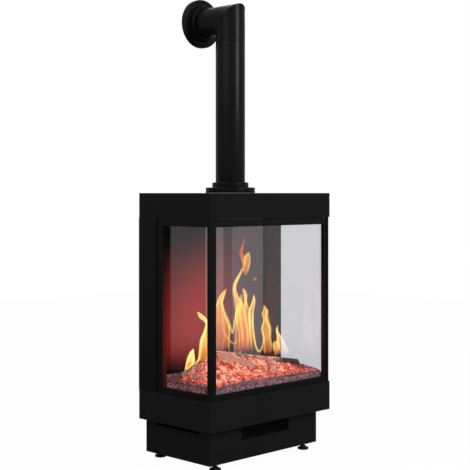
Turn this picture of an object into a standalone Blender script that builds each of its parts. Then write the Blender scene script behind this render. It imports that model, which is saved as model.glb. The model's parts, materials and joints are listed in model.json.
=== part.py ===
"""Three-sided electric fireplace with a mitred flue pipe, modelled at its real size.

Metres, +Z up. The origin is on the floor, midway across the body and midway between the body's front
face and the wall behind it. The front faces -Y, and left and right are those of a viewer in front of it.
"""

import math

import bmesh
import bpy
from mathutils import Matrix, Vector

# Values that every piece shares
SHEET = 0.002  # steel sheet
GAP = 0.0003  # clearance between two pieces that touch
OVERRUN = 0.004  # how far a cut runs past the face where it starts
FOLD_RADIUS = 0.003  # outside radius of a folded corner
FOLD_STEPS = 3
PIPE_STEPS = 40
FOOT_STEPS = 20
PIN_STEPS = 12
LAMP_STEPS = 8

# Body
BODY_WIDTH = 0.732
BODY_DEPTH = 0.438
WALL_GAP = 0.016  # from the back of the body to the wall
LOWER_BAND_HEIGHT = 0.124
GLASS_BAND_HEIGHT = 0.7255
UPPER_BAND_HEIGHT = 0.1055
GLASS_INSET = 0.0045  # how far the glazed band lies behind the faces of the other two

# Plinth
PLINTH_HEIGHT = 0.145
PLINTH_SIDE_INSET = 0.040
PLINTH_FRONT_INSET = 0.044
AIR_SLOT_LENGTH = 0.261
AIR_SLOT_HEIGHT = 0.014
AIR_SLOT_DROP = 0.010  # from the top of the plinth

# Levelling feet
FOOT_HEIGHT = 0.028
FOOT_PAD_RADIUS = 0.024
FOOT_PAD_THICKNESS = 0.007
FOOT_HUB_RADIUS = 0.012
FOOT_HUB_HEIGHT = 0.014
FOOT_STEM_RADIUS = 0.005
FOOT_STEM_RISE = 0.022  # above the underside of the plinth
FOOT_CHAMFER = 0.001
FOOT_SIDE_INSET = 0.057
FOOT_END_INSET = 0.0285
FOOT_BOSS_RADIUS = 0.010
FOOT_BOSS_HEIGHT = 0.010

# Warm air outlet grille
GRILLE_WIDTH = 0.291
GRILLE_HEIGHT = 0.055
GRILLE_DROP = 0.010  # from the top of the plinth
GRILLE_RIM = 0.004
GRILLE_LIP = 0.006  # the hidden edge that bears on the inside of the plinth
GRILLE_LIP_THICKNESS = 0.0017
GRILLE_PITCH = 0.0075
GRILLE_SLOT = 0.0045

# Fan heater in the plinth
DUCT_WALL = 0.0015
DUCT_WIDTH = 0.300
DUCT_MARGIN_BELOW = 0.007  # past the grille's lower edge
DUCT_MARGIN_ABOVE = 0.004
DUCT_INTAKE_HEIGHT = 0.030
DUCT_INTAKE_MARGIN = 0.012
DRUM_RADIUS = 0.026
DRUM_END_ROOM = 0.020  # from the side of the duct
DRUM_DISC_THICKNESS = 0.003
DRUM_REAR_ROOM = 0.0055  # to the back of the duct
BLADE_COUNT = 12
BLADE_WIDTH = 0.009
BLADE_THICKNESS = 0.0014
BLADE_EDGE = 0.001  # from the blades to the rim of the discs
DRUM_SHAFT_RADIUS = 0.003
DRUM_SHAFT_STUB = 0.003  # past the duct's wall at the free end
MOTOR_RADIUS = 0.025
MOTOR_LENGTH = 0.038
MOTOR_CHAMFER = 0.004
MOTOR_BORE_DEPTH = 0.016
ELEMENT_SETBACK = 0.008
ELEMENT_DEPTH = 0.013
ELEMENT_SPINE = 0.004
ELEMENT_SIDE_ROOM = 0.008
ELEMENT_TOP_ROOM = 0.004
ELEMENT_DRUM_ROOM = 0.015
FIN_COUNT = 24
FIN_SHARE = 0.35  # of the fin pitch
CONTROL_BOX_WIDTH = 0.120
CONTROL_BOX_DEPTH = 0.100
CONTROL_BOX_HEIGHT = 0.045
CONTROL_BOX_SIDE_ROOM = 0.002  # from the inside of the plinth
CONTROL_BOX_REAR_INSET = 0.066

# Mains inlet and switch on the back of the plinth
INLET_SIDE_INSET = 0.062  # from the side of the plinth
INLET_FLANGE_WIDTH = 0.036
INLET_FLANGE_HEIGHT = 0.060
INLET_FLANGE_THICKNESS = 0.002
INLET_BODY_WIDTH = 0.028
INLET_BODY_HEIGHT = 0.050
INLET_BODY_DEPTH = 0.030
INLET_RISE = 0.070  # centre above the underside of the plinth
SOCKET_WIDTH = 0.0245
SOCKET_HEIGHT = 0.0168
SOCKET_DEPTH = 0.018
SOCKET_CENTRE_RISE = 0.0125  # above the centre of the flange
CONTACT_WIDTH = 0.002
CONTACT_HEIGHT = 0.004
CONTACT_LENGTH = 0.015
CONTACT_SPREAD = 0.007
CONTACT_DROP = 0.002
ROCKER_WIDTH = 0.0124
ROCKER_HEIGHT = 0.0176
ROCKER_CROWN = 0.0014
ROCKER_DEPTH = 0.006
ROCKER_PIVOT_DEPTH = 0.002  # behind the crown's foot
ROCKER_CENTRE_DROP = 0.0125  # below the centre of the flange
ROCKER_TILT = math.radians(8)
ROCKER_SIDE_ROOM = 0.0004
ROCKER_END_ROOM = 0.0012
ROCKER_WELL_DEPTH = 0.012

# Glazed band: side frames, panes and door
POST_WIDTH = 0.012
DOOR_THICKNESS = 0.018
DOOR_GAP = 0.0015
DOOR_BACK_ROOM = 0.002  # between the door and what stands behind it
DOOR_FACE_WALL = 0.0117  # what the glazing rebate leaves of the frame
STILE_WIDTH = 0.019
NOSE_STEPS = 10
LOWER_RAIL_TOP = 0.0235  # above the lower band
UPPER_RAIL_BOTTOM = 0.0315  # below the upper band
SIDE_FRAME_THICKNESS = 0.0187
REAR_STILE_WIDTH = 0.038  # of a side frame, behind its opening
GLASS_THICKNESS = 0.004
PANE_LAP = 0.008  # how far a pane runs behind its frame
SEAL_THICKNESS = 0.0017
SEAL_WIDTH = 0.007

# Pivots of the door
PIVOT_RADIUS = 0.003
PIVOT_HEAD_RADIUS = 0.006
PIVOT_HEAD_THICKNESS = 0.002
PIVOT_REACH = 0.008  # into the door
PIVOT_END_ROOM = 0.0015

# Push catch of the door
CATCH_INSET = 0.070  # from the side of the body
CATCH_WIDTH = 0.020
CATCH_HEIGHT = 0.016
CATCH_LENGTH = 0.040
CATCH_SETBACK = 0.006  # from the back of the door
STRIKE_HEIGHT = 0.012
STRIKE_THICKNESS = 0.0012
PLUNGER_RADIUS = 0.004
PLUNGER_LENGTH = 0.026
PLUNGER_TRAVEL = 0.003
PLUNGER_CHAMFER = 0.001

# Rear casing and inner panels
COLUMN_DEPTH = 0.110  # from the back of the body
COLUMN_ROOM = 0.001  # from a column's front return to the liner beside it
COLUMN_FLANGE = 0.030
SCREW_INSET = 0.016
SCREW_LEVEL = 0.060  # from the ends of the back cover
SCREW_RADIUS = 0.002
SCREW_LENGTH = 0.009
SCREW_HEAD_RADIUS = 0.0045
SCREW_HEAD_THICKNESS = 0.0025
SCREW_HOLE_CLEARANCE = 0.0004
VENT_COUNT = 12
VENT_WIDTH = 0.006
VENT_HEIGHT = 0.060
VENT_PITCH = 0.024
VENT_DROP = 0.050
LINER_DEPTH = 0.068  # from a side pane to the back panel
BACK_PANEL_FLANGE = 0.014

# Bed and its tray
BED_RISE = 0.041  # from the lower band to the floor of the fire chamber
TRAY_SIDE_ROOM = 0.0005
TRAY_FRONT_ROOM = 0.0015
TRAY_REAR_ROOM = 0.0005
TRAY_UPSTAND = 0.0175
BED_EDGE_ROOM = 0.0055
BED_FRONT_ROOM = 0.0045
BED_REAR_ROOM = 0.006
BED_EDGE_HEIGHT = 0.008
BED_CROWN = 0.090  # above the edge of the bed
BED_COLUMNS = 28
BED_ROWS = 15
BED_LUMP = 0.0022
LUMP_WAVES = (31, 19, 47, 13)  # turns of the lumps over the bed, in radians
BED_PEAK_SHARES = (0.33, 0.50)  # of the bed's width and depth
BED_RIGHT_SHARE = 0.20  # crown left at the right end
BED_REAR_SHARE = 0.04  # crown left at the rear

# Logs: start and end as shares of the body's width, its depth and the bed's crown, and the radius
LOG_RADIUS = 0.027
LOG_SIDES = 12
LOG_RINGS = 7
LOG_TAPER_SHARE = 0.12
LOG_WAVE_SHARE = 0.05
LOG_WAVES = 9  # radians along a log
LOG_BEND_SHARE = 0.18
LOG_SPLIT_SHARE = 0.50  # of the radius, from the axis of the split log to its flat face
LOG_SPLIT_ANGLE = math.radians(155)  # round the axis of that log, from the side that faces the rear
SPLIT_LOG = "log_front"
LOG_SHARES = (
    ("log_rear", (0.290, 0.492, 1.025), (0.895, 0.285, 0.230), 0.89),
    ("log_front", (0.291, 0.365, 1.040), (0.471, 0.228, 0.470), 1.00),
    ("log_right", (0.630, 0.251, 0.497), (0.582, 0.137, 0.252), 0.90),
    ("log_left", (0.099, 0.536, 0.220), (0.205, 0.468, 0.640), 0.67),
    ("log_near_glass", (0.106, 0.423, 0.180), (0.180, 0.240, 0.240), 0.67),
)

# Water mist flame unit below the bed
CASSETTE_WIDTH = 0.500
CASSETTE_SETBACK = 0.150  # from the front of the body
CASSETTE_DEPTH = 0.140
CASSETTE_ROOM = 0.040  # to the edge of the opening above it
CASSETTE_HEIGHT = 0.118
CASSETTE_RADIUS = 0.006
NOZZLE_LID_THICKNESS = 0.002
NOZZLE_LID_EDGE = 0.002
NOZZLE_WIDTH = 0.390
NOZZLE_DEPTH = 0.014
NOZZLE_WALL = 0.002
NOZZLE_OFFSET = 0.016  # behind the middle of the cassette
NOZZLE_TOP_ROOM = 0.001  # below the chamber floor
TRAY_SLOT_ROOM = 0.007  # round the nozzle and the lamp bar
TANK_WIDTH = 0.185
TANK_HEIGHT = 0.092
TANK_WALL = 0.0025
TANK_ROOM = 0.005  # from the walls of the cassette
TANK_NECK_RADIUS = 0.018
TANK_NECK_HEIGHT = 0.010
MISTER_OFFSET = 0.060
MISTER_RADIUS = 0.030
MISTER_HEIGHT = 0.018
MISTER_WELL_RADIUS = 0.011
MISTER_WELL_DEPTH = 0.006
LAMP_BAR_WIDTH = 0.400
LAMP_BAR_DEPTH = 0.022
LAMP_BAR_HEIGHT = 0.010
LAMP_BAR_ROOM = 0.007  # from the nozzle
LAMP_COUNT = 8
LAMP_RADIUS = 0.006
LAMP_HEIGHT = 0.007

# Flue
PIPE_RADIUS = 0.064
PIPE_WALL = 0.0015
FLUE_SETBACK = 0.2565  # from the front of the body to the flue's axis
FLUE_RISE = 0.755  # from the top of the body to the axis of the level run
ELBOW_LEG = 0.100
SWAGE_LENGTH = 0.030
FLUE_HOLE_RADIUS = 0.059
ROSETTE_RADIUS = 0.1075
ROSETTE_HEIGHT = 0.024
ROSETTE_FLANGE = 0.014
COLLAR_RADIUS = 0.079
COLLAR_HEIGHT = 0.022
ROSETTE_CHAMFER = 0.002

# Levels and planes worked out from those sizes
HALF_WIDTH = BODY_WIDTH / 2
FRONT = -(BODY_DEPTH + WALL_GAP) / 2
REAR = FRONT + BODY_DEPTH
WALL = REAR + WALL_GAP
PLINTH_TOP = FOOT_HEIGHT + PLINTH_HEIGHT
LOWER_TOP = PLINTH_TOP + LOWER_BAND_HEIGHT
UPPER_BOTTOM = LOWER_TOP + GLASS_BAND_HEIGHT
BODY_TOP = UPPER_BOTTOM + UPPER_BAND_HEIGHT
OPENING_BOTTOM = LOWER_TOP + LOWER_RAIL_TOP
OPENING_TOP = UPPER_BOTTOM - UPPER_RAIL_BOTTOM
PLINTH_FRONT = FRONT + PLINTH_FRONT_INSET
PLINTH_HALF_WIDTH = HALF_WIDTH - PLINTH_SIDE_INSET
PLINTH_FLOOR = FOOT_HEIGHT + SHEET
DOOR_FRONT = FRONT + GLASS_INSET
DOOR_BACK = DOOR_FRONT + DOOR_THICKNESS
DOOR_HALF_WIDTH = HALF_WIDTH - GLASS_INSET - POST_WIDTH - DOOR_GAP
DOOR_BOTTOM = LOWER_TOP + DOOR_GAP
DOOR_TOP = UPPER_BOTTOM - DOOR_GAP
DOOR_OPENING_HALF = DOOR_HALF_WIDTH - STILE_WIDTH
PIVOT_X = DOOR_HALF_WIDTH - DOOR_THICKNESS / 2
PIVOT_Y = DOOR_FRONT + DOOR_THICKNESS / 2
FRAME_INNER = GLASS_INSET + SIDE_FRAME_THICKNESS  # depth of the side frame's inner face below the side
PANE_OUTER = FRAME_INNER + GAP + SEAL_THICKNESS + GAP
PANE_INNER = PANE_OUTER + GLASS_THICKNESS
COLUMN_RETURN = PANE_OUTER - COLUMN_ROOM
PANE_FRONT = DOOR_BACK + DOOR_BACK_ROOM
COLUMN_FRONT = REAR - COLUMN_DEPTH
SIDE_OPENING_REAR = COLUMN_FRONT - REAR_STILE_WIDTH
PANE_REAR = SIDE_OPENING_REAR + PANE_LAP
PANE_BOTTOM = OPENING_BOTTOM - PANE_LAP
PANE_TOP = OPENING_TOP + PANE_LAP
BACK_PANEL_Y = PANE_REAR + LINER_DEPTH
BAND_BOTTOM = LOWER_TOP + GAP
BAND_TOP = UPPER_BOTTOM - GAP
BED_FLOOR = LOWER_TOP + BED_RISE
BED_BOTTOM = BED_FLOOR + GAP
TRAY_HALF_WIDTH = HALF_WIDTH - PANE_INNER - TRAY_SIDE_ROOM
TRAY_FRONT = DOOR_BACK + TRAY_FRONT_ROOM
TRAY_REAR = BACK_PANEL_Y - TRAY_REAR_ROOM
CASSETTE_FRONT = FRONT + CASSETTE_SETBACK
CASSETTE_MIDDLE = CASSETTE_FRONT + CASSETTE_DEPTH / 2
CASSETTE_REAR = CASSETTE_FRONT + CASSETTE_DEPTH
NOZZLE_MIDDLE = CASSETTE_MIDDLE + NOZZLE_OFFSET
LAMP_BAR_FRONT = NOZZLE_MIDDLE + NOZZLE_DEPTH / 2 + LAMP_BAR_ROOM
DRUM_SETBACK = ELEMENT_SETBACK + ELEMENT_DEPTH + ELEMENT_DRUM_ROOM + DRUM_RADIUS
DUCT_DEPTH = DRUM_SETBACK + DRUM_RADIUS + DRUM_REAR_ROOM + DUCT_WALL
FLUE_Y = FRONT + FLUE_SETBACK
FLUE_AXIS_Z = BODY_TOP + FLUE_RISE
INNER_FOLD_RADIUS = max(FOLD_RADIUS - SHEET, SHEET / 4)
PLATE_FIT = GAP + INNER_FOLD_RADIUS * (1 - math.sqrt(0.5))  # a square corner clears a folded one

# Finishes: base colour, roughness, metallic
FINISHES = {
    "black_steel": ((0.012, 0.012, 0.013, 1), 0.45, 0.4),
    "chamber_steel": ((0.030, 0.026, 0.026, 1), 0.40, 0.3),
    "galvanised_steel": ((0.42, 0.43, 0.44, 1), 0.45, 0.9),
    "bright_steel": ((0.60, 0.60, 0.60, 1), 0.25, 1.0),
    "glass": ((0.55, 0.56, 0.58, 0.35), 0.03, 0.0),
    "gasket": ((0.03, 0.03, 0.03, 1), 0.90, 0.0),
    "ash_grey": ((0.16, 0.15, 0.15, 1), 0.80, 0.0),
    "ember": ((0.75, 0.12, 0.04, 1), 0.70, 0.0),
    "log": ((0.22, 0.12, 0.07, 1), 0.85, 0.0),
    "grey_plastic": ((0.10, 0.10, 0.11, 1), 0.50, 0.0),
    "black_plastic": ((0.02, 0.02, 0.02, 1), 0.40, 0.0),
    "tank": ((0.55, 0.62, 0.66, 1), 0.30, 0.0),
    "aluminium": ((0.70, 0.70, 0.71, 1), 0.35, 1.0),
    "lamp": ((0.90, 0.55, 0.20, 1), 0.30, 0.0),
}


# Building helpers


def clear_scene():
    for old in list(bpy.data.objects):
        bpy.data.objects.remove(old, do_unlink=True)


def make_material(name, finish):
    colour, roughness, metallic = FINISHES[finish]
    material = bpy.data.materials.new(name)
    material.use_nodes = True
    shader = material.node_tree.nodes["Principled BSDF"]
    shader.inputs["Base Color"].default_value = colour
    shader.inputs["Roughness"].default_value = roughness
    shader.inputs["Metallic"].default_value = metallic
    shader.inputs["Alpha"].default_value = colour[3]
    return material


def empty(name, location, rotation=(0, 0, 0)):
    guide = bpy.data.objects.new(name, None)
    guide.location = location
    guide.rotation_euler = rotation
    bpy.context.collection.objects.link(guide)
    return guide


def place(name, bm, location, parent):
    """Make an object from a bmesh whose points are relative to location."""
    bmesh.ops.recalc_face_normals(bm, faces=bm.faces)
    mesh = bpy.data.meshes.new(name)
    bm.to_mesh(mesh)
    bm.free()
    obj = bpy.data.objects.new(name, mesh)
    obj.location = location
    bpy.context.collection.objects.link(obj)
    if parent is not None:
        obj.parent = parent
        obj.matrix_parent_inverse = Matrix.Translation(-parent.location)
    return obj


def piece(name, bm, finish, location=(0, 0, 0), parent=None, rounded=False):
    obj = place(name, bm, location, parent)
    obj.data.materials.append(make_material(name + "_finish", finish))
    if rounded:
        obj.data.shade_smooth()
        obj.data.set_sharp_from_angle(angle=math.radians(35))
    return obj


def cutter(name, bm, location=(0, 0, 0), parent=None):
    obj = place(name, bm, location, parent)
    obj.hide_render = True
    obj.display_type = "WIRE"
    return obj


def combine(target, tool, operation):
    modifier = target.modifiers.new(tool.name, "BOOLEAN")
    modifier.operation = operation
    modifier.solver = "EXACT"
    modifier.object = tool
    tool.hide_render = True
    tool.display_type = "WIRE"


def subtract(target, tool):
    combine(target, tool, "DIFFERENCE")


def unite(target, tool):
    combine(target, tool, "UNION")


def block_mesh(low, high):
    """Box with its points relative to its own centre, and that centre."""
    size = [top - bottom for bottom, top in zip(low, high)]
    centre = [(top + bottom) / 2 for bottom, top in zip(low, high)]
    bm = bmesh.new()
    bmesh.ops.create_cube(bm, size=1, matrix=Matrix.Diagonal((*size, 1)))
    return bm, centre


def block(name, low, high, finish, parent=None):
    bm, centre = block_mesh(low, high)
    return piece(name, bm, finish, centre, parent)


def block_cutter(name, low, high, parent=None):
    bm, centre = block_mesh(low, high)
    return cutter(name, bm, centre, parent)


def blocks_mesh(boxes):
    """Several separate boxes in one mesh."""
    bm = bmesh.new()
    for low, high in boxes:
        size = [top - bottom for bottom, top in zip(low, high)]
        centre = [(top + bottom) / 2 for bottom, top in zip(low, high)]
        matrix = Matrix.Translation(centre) @ Matrix.Diagonal((*size, 1))
        bmesh.ops.create_cube(bm, size=1, matrix=matrix)
    return bm


def spread(first, second, along, axis):
    """Place a point of an outline, and its distance along the axis, in the model's frame."""
    if axis == "X":
        return Vector((along, first, second))
    if axis == "Y":
        return Vector((first, along, second))
    return Vector((first, second, along))


def prism_mesh(outline, start, end, axis):
    """Outline swept straight along an axis and closed at both ends."""
    bm = bmesh.new()
    near = [bm.verts.new(spread(a, b, start, axis)) for a, b in outline]
    far = [bm.verts.new(spread(a, b, end, axis)) for a, b in outline]
    bm.faces.new(near)
    bm.faces.new(far)
    for index in range(len(outline)):
        following = (index + 1) % len(outline)
        bm.faces.new((near[index], near[following], far[following], far[index]))
    return bm


def ring_prism_mesh(outer, inner, start, end, axis):
    """The space between two outlines of as many points, swept straight along an axis."""
    bm = bmesh.new()
    loops = []
    for outline, along in ((outer, start), (outer, end), (inner, end), (inner, start)):
        loops.append([bm.verts.new(spread(a, b, along, axis)) for a, b in outline])
    for loop, following in zip(loops, loops[1:] + loops[:1]):
        for index in range(len(loop)):
            other = (index + 1) % len(loop)
            bm.faces.new((loop[index], loop[other], following[other], following[index]))
    return bm


def rectangle(low, high):
    return [(low[0], low[1]), (high[0], low[1]), (high[0], high[1]), (low[0], high[1])]


def rounded_rectangle(width, depth, radius):
    points = []
    corners = ((1, 1), (-1, 1), (-1, -1), (1, -1))
    for quarter, (side, end) in enumerate(corners):
        centre_x = side * (width / 2 - radius)
        centre_y = end * (depth / 2 - radius)
        for step in range(FOLD_STEPS + 1):
            angle = math.pi / 2 * (quarter + step / FOLD_STEPS)
            points.append((centre_x + radius * math.cos(angle), centre_y + radius * math.sin(angle)))
    return points


def tray_mesh(width, depth, closed_at, open_at, wall, radius):
    """Folded sheet box: one flat plate and four walls, open at the other end."""
    inward = wall if open_at > closed_at else -wall
    outer = rounded_rectangle(width, depth, radius)
    inner = rounded_rectangle(width - 2 * wall, depth - 2 * wall, max(radius - wall, wall / 4))
    bm = bmesh.new()
    loops = []
    for outline, level in ((outer, closed_at), (outer, open_at), (inner, open_at), (inner, closed_at + inward)):
        loops.append([bm.verts.new((x, y, level)) for x, y in outline])
    for loop, following in zip(loops, loops[1:]):
        for index in range(len(loop)):
            other = (index + 1) % len(loop)
            bm.faces.new((loop[index], loop[other], following[other], following[index]))
    bm.faces.new(loops[0])
    bm.faces.new(loops[-1])
    return bm


def turned_mesh(profile, steps, axis="Z"):
    """Profile of (radius, along) turned about an axis.

    A profile that starts and ends on the axis gives a solid. Any other is closed into a ring.
    """
    bm = bmesh.new()
    rings = []
    for radius, along in profile:
        if radius == 0:
            rings.append([bm.verts.new(spread(0, 0, along, axis))])
            continue
        ring = []
        for step in range(steps):
            angle = 2 * math.pi * step / steps
            ring.append(bm.verts.new(spread(radius * math.cos(angle), radius * math.sin(angle), along, axis)))
        rings.append(ring)
    pairs = list(zip(rings, rings[1:]))
    if profile[0][0] != 0:
        pairs.append((rings[-1], rings[0]))
    for ring, following in pairs:
        for step in range(steps):
            other = (step + 1) % steps
            corners = (ring[step % len(ring)], ring[other % len(ring)])
            corners += (following[other % len(following)], following[step % len(following)])
            bm.faces.new(list(dict.fromkeys(corners)))
    return bm


def rod_mesh(radius, start, end, steps=PIN_STEPS, axis="Z"):
    return turned_mesh([(0, start), (radius, start), (radius, end), (0, end)], steps, axis)


def merged(meshes):
    """One bmesh that holds the separate shapes of several, each with its own offset."""
    bm = bmesh.new()
    for part, offset in meshes:
        scratch = bpy.data.meshes.new("scratch")
        bmesh.ops.translate(part, verts=part.verts, vec=offset)
        part.to_mesh(scratch)
        part.free()
        bm.from_mesh(scratch)
        bpy.data.meshes.remove(scratch)
    return bm


# Plinth and feet


def foot_places():
    places = []
    for side_name, side in (("left", -1), ("right", 1)):
        x = side * (PLINTH_HALF_WIDTH - FOOT_SIDE_INSET)
        places.append(("foot_front_" + side_name, x, PLINTH_FRONT + FOOT_END_INSET))
        places.append(("foot_rear_" + side_name, x, REAR - FOOT_END_INSET))
    return places


def grille_levels():
    top = PLINTH_TOP - GRILLE_DROP
    return top - GRILLE_HEIGHT, top


def inlet_place():
    return INLET_SIDE_INSET - PLINTH_HALF_WIDTH, FOOT_HEIGHT + INLET_RISE


def make_plinth():
    depth = REAR - PLINTH_FRONT
    middle = (REAR + PLINTH_FRONT) / 2
    top = PLINTH_TOP - GAP
    bm = tray_mesh(2 * PLINTH_HALF_WIDTH, depth, FOOT_HEIGHT, top, SHEET, FOLD_RADIUS)
    plinth = piece("plinth", bm, "black_steel", (0, middle, 0))

    bosses = []
    holes = []
    for _, x, y in foot_places():
        boss_foot = PLINTH_FLOOR - SHEET / 2
        bosses.append((rod_mesh(FOOT_BOSS_RADIUS, boss_foot, PLINTH_FLOOR + FOOT_BOSS_HEIGHT), (x, y, 0)))
        hole_top = PLINTH_FLOOR + FOOT_BOSS_HEIGHT + OVERRUN
        holes.append((rod_mesh(FOOT_STEM_RADIUS + GAP, FOOT_HEIGHT - OVERRUN, hole_top), (x, y, 0)))
    unite(plinth, cutter("plinth_bosses", merged(bosses)))
    subtract(plinth, cutter("plinth_foot_holes", merged(holes)))

    slot_top = PLINTH_TOP - AIR_SLOT_DROP
    reach = PLINTH_HALF_WIDTH + OVERRUN
    low = (-reach, middle - AIR_SLOT_LENGTH / 2, slot_top - AIR_SLOT_HEIGHT)
    high = (reach, middle + AIR_SLOT_LENGTH / 2, slot_top)
    subtract(plinth, block_cutter("plinth_air_slots", low, high))

    grille_bottom, grille_top = grille_levels()
    low = (-GRILLE_WIDTH / 2, PLINTH_FRONT - OVERRUN, grille_bottom)
    high = (GRILLE_WIDTH / 2, PLINTH_FRONT + SHEET + OVERRUN, grille_top)
    subtract(plinth, block_cutter("plinth_grille_opening", low, high))

    inlet_x, inlet_z = inlet_place()
    half = INLET_BODY_WIDTH / 2 + GAP
    rise = INLET_BODY_HEIGHT / 2 + GAP
    low = (inlet_x - half, REAR - SHEET - OVERRUN, inlet_z - rise)
    high = (inlet_x + half, REAR + OVERRUN, inlet_z + rise)
    subtract(plinth, block_cutter("plinth_inlet_opening", low, high))


def make_feet():
    profile = [
        (0, 0),
        (FOOT_PAD_RADIUS - FOOT_CHAMFER, 0),
        (FOOT_PAD_RADIUS, FOOT_CHAMFER),
        (FOOT_PAD_RADIUS, FOOT_PAD_THICKNESS),
        (FOOT_HUB_RADIUS, FOOT_PAD_THICKNESS + FOOT_CHAMFER),
        (FOOT_HUB_RADIUS, FOOT_HUB_HEIGHT),
        (FOOT_STEM_RADIUS, FOOT_HUB_HEIGHT),
        (FOOT_STEM_RADIUS, FOOT_HEIGHT + FOOT_STEM_RISE),
        (0, FOOT_HEIGHT + FOOT_STEM_RISE),
    ]
    for name, x, y in foot_places():
        piece(name, turned_mesh(profile, FOOT_STEPS), "black_plastic", (x, y, 0), rounded=True)


def make_outlet_grille():
    bottom, top = grille_levels()
    half = GRILLE_WIDTH / 2 - GAP
    lip_front = PLINTH_FRONT + SHEET + GAP
    lip_back = lip_front + GRILLE_LIP_THICKNESS
    low = (-half, PLINTH_FRONT, bottom + GAP)
    high = (half, lip_back, top - GAP)
    grille = block("outlet_grille", low, high, "black_steel")
    low = (-half - GRILLE_LIP, lip_front, bottom - GRILLE_LIP)
    high = (half + GRILLE_LIP, lip_back, top + GRILLE_LIP)
    unite(grille, block_cutter("outlet_grille_lip", low, high))

    room = 2 * half - 2 * GRILLE_RIM
    count = int(room / GRILLE_PITCH)
    slots = []
    for index in range(count):
        x = (index - (count - 1) / 2) * GRILLE_PITCH
        slot_low = (x - GRILLE_SLOT / 2, PLINTH_FRONT - OVERRUN, bottom + GRILLE_RIM)
        slot_high = (x + GRILLE_SLOT / 2, lip_back + OVERRUN, top - GRILLE_RIM)
        slots.append((slot_low, slot_high))
    subtract(grille, cutter("outlet_grille_slots", blocks_mesh(slots)))


# Fan heater


def duct_box():
    """Lowest and highest corner of the heater's duct."""
    bottom, top = grille_levels()
    mouth = PLINTH_FRONT + SHEET + GAP + GRILLE_LIP_THICKNESS + GAP
    low = (-DUCT_WIDTH / 2, mouth, bottom - DUCT_MARGIN_BELOW)
    high = (DUCT_WIDTH / 2, mouth + DUCT_DEPTH, top + DUCT_MARGIN_ABOVE)
    return low, high


def drum_axis():
    low, high = duct_box()
    return low[1] + DRUM_SETBACK, (low[2] + high[2]) / 2


def make_heater_duct():
    low, high = duct_box()
    duct = block("heater_duct", low, high, "galvanised_steel")
    inner_low = (low[0] + DUCT_WALL, low[1] - OVERRUN, low[2] + DUCT_WALL)
    inner_high = (high[0] - DUCT_WALL, high[1] - DUCT_WALL, high[2] - DUCT_WALL)
    subtract(duct, block_cutter("heater_duct_inside", inner_low, inner_high))

    intake_low = (low[0] + DUCT_INTAKE_MARGIN, high[1] - DUCT_WALL - OVERRUN, low[2] + DUCT_INTAKE_MARGIN)
    intake_top = low[2] + DUCT_INTAKE_MARGIN + DUCT_INTAKE_HEIGHT
    intake_high = (high[0] - DUCT_INTAKE_MARGIN, high[1] + OVERRUN, intake_top)
    subtract(duct, block_cutter("heater_duct_intake", intake_low, intake_high))

    y, z = drum_axis()
    reach = DUCT_WIDTH / 2 + OVERRUN
    hole = rod_mesh(DRUM_SHAFT_RADIUS + GAP, -reach, reach, axis="X")
    subtract(duct, cutter("heater_duct_shaft_holes", hole, (0, y, z)))


def make_heater_drum():
    """Cross-flow impeller: a shaft with three discs, and blades round their rims."""
    y, z = drum_axis()
    end = DUCT_WIDTH / 2 - DRUM_END_ROOM
    profile = [(0, -DUCT_WIDTH / 2 - DRUM_SHAFT_STUB), (DRUM_SHAFT_RADIUS, -DUCT_WIDTH / 2 - DRUM_SHAFT_STUB)]
    for start in (-end, -DRUM_DISC_THICKNESS / 2, end - DRUM_DISC_THICKNESS):
        finish = start + DRUM_DISC_THICKNESS
        profile += [(DRUM_SHAFT_RADIUS, start), (DRUM_RADIUS, start), (DRUM_RADIUS, finish)]
        profile += [(DRUM_SHAFT_RADIUS, finish)]
    shaft_end = DUCT_WIDTH / 2 + GAP + MOTOR_BORE_DEPTH - 2 * GAP
    profile += [(DRUM_SHAFT_RADIUS, shaft_end), (0, shaft_end)]
    axis_guide = empty("heater_drum_axis", (0, y, z))
    drum = piece("heater_drum", turned_mesh(profile, 2 * BLADE_COUNT, "X"), "aluminium", (0, y, z), axis_guide, True)

    blades = bmesh.new()
    reach = end - DRUM_DISC_THICKNESS / 2
    radius = DRUM_RADIUS - BLADE_EDGE - BLADE_WIDTH / 2
    size = Matrix.Diagonal((2 * reach, BLADE_WIDTH, BLADE_THICKNESS, 1))
    for index in range(BLADE_COUNT):
        turn = Matrix.Rotation(2 * math.pi * (index + 0.5) / BLADE_COUNT, 4, "X")
        bmesh.ops.create_cube(blades, size=1, matrix=turn @ Matrix.Translation((0, radius, 0)) @ size)
    unite(drum, cutter("heater_drum_blades", blades, (0, y, z), axis_guide))


def make_heater_motor():
    y, z = drum_axis()
    profile = [
        (0, MOTOR_BORE_DEPTH),
        (DRUM_SHAFT_RADIUS + GAP, MOTOR_BORE_DEPTH),
        (DRUM_SHAFT_RADIUS + GAP, 0),
        (MOTOR_RADIUS, 0),
        (MOTOR_RADIUS, MOTOR_LENGTH - MOTOR_CHAMFER),
        (MOTOR_RADIUS - MOTOR_CHAMFER, MOTOR_LENGTH),
        (0, MOTOR_LENGTH),
    ]
    bm = turned_mesh(profile, PIN_STEPS, "X")
    piece("heater_motor", bm, "galvanised_steel", (DUCT_WIDTH / 2 + GAP, y, z), rounded=True)


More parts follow.
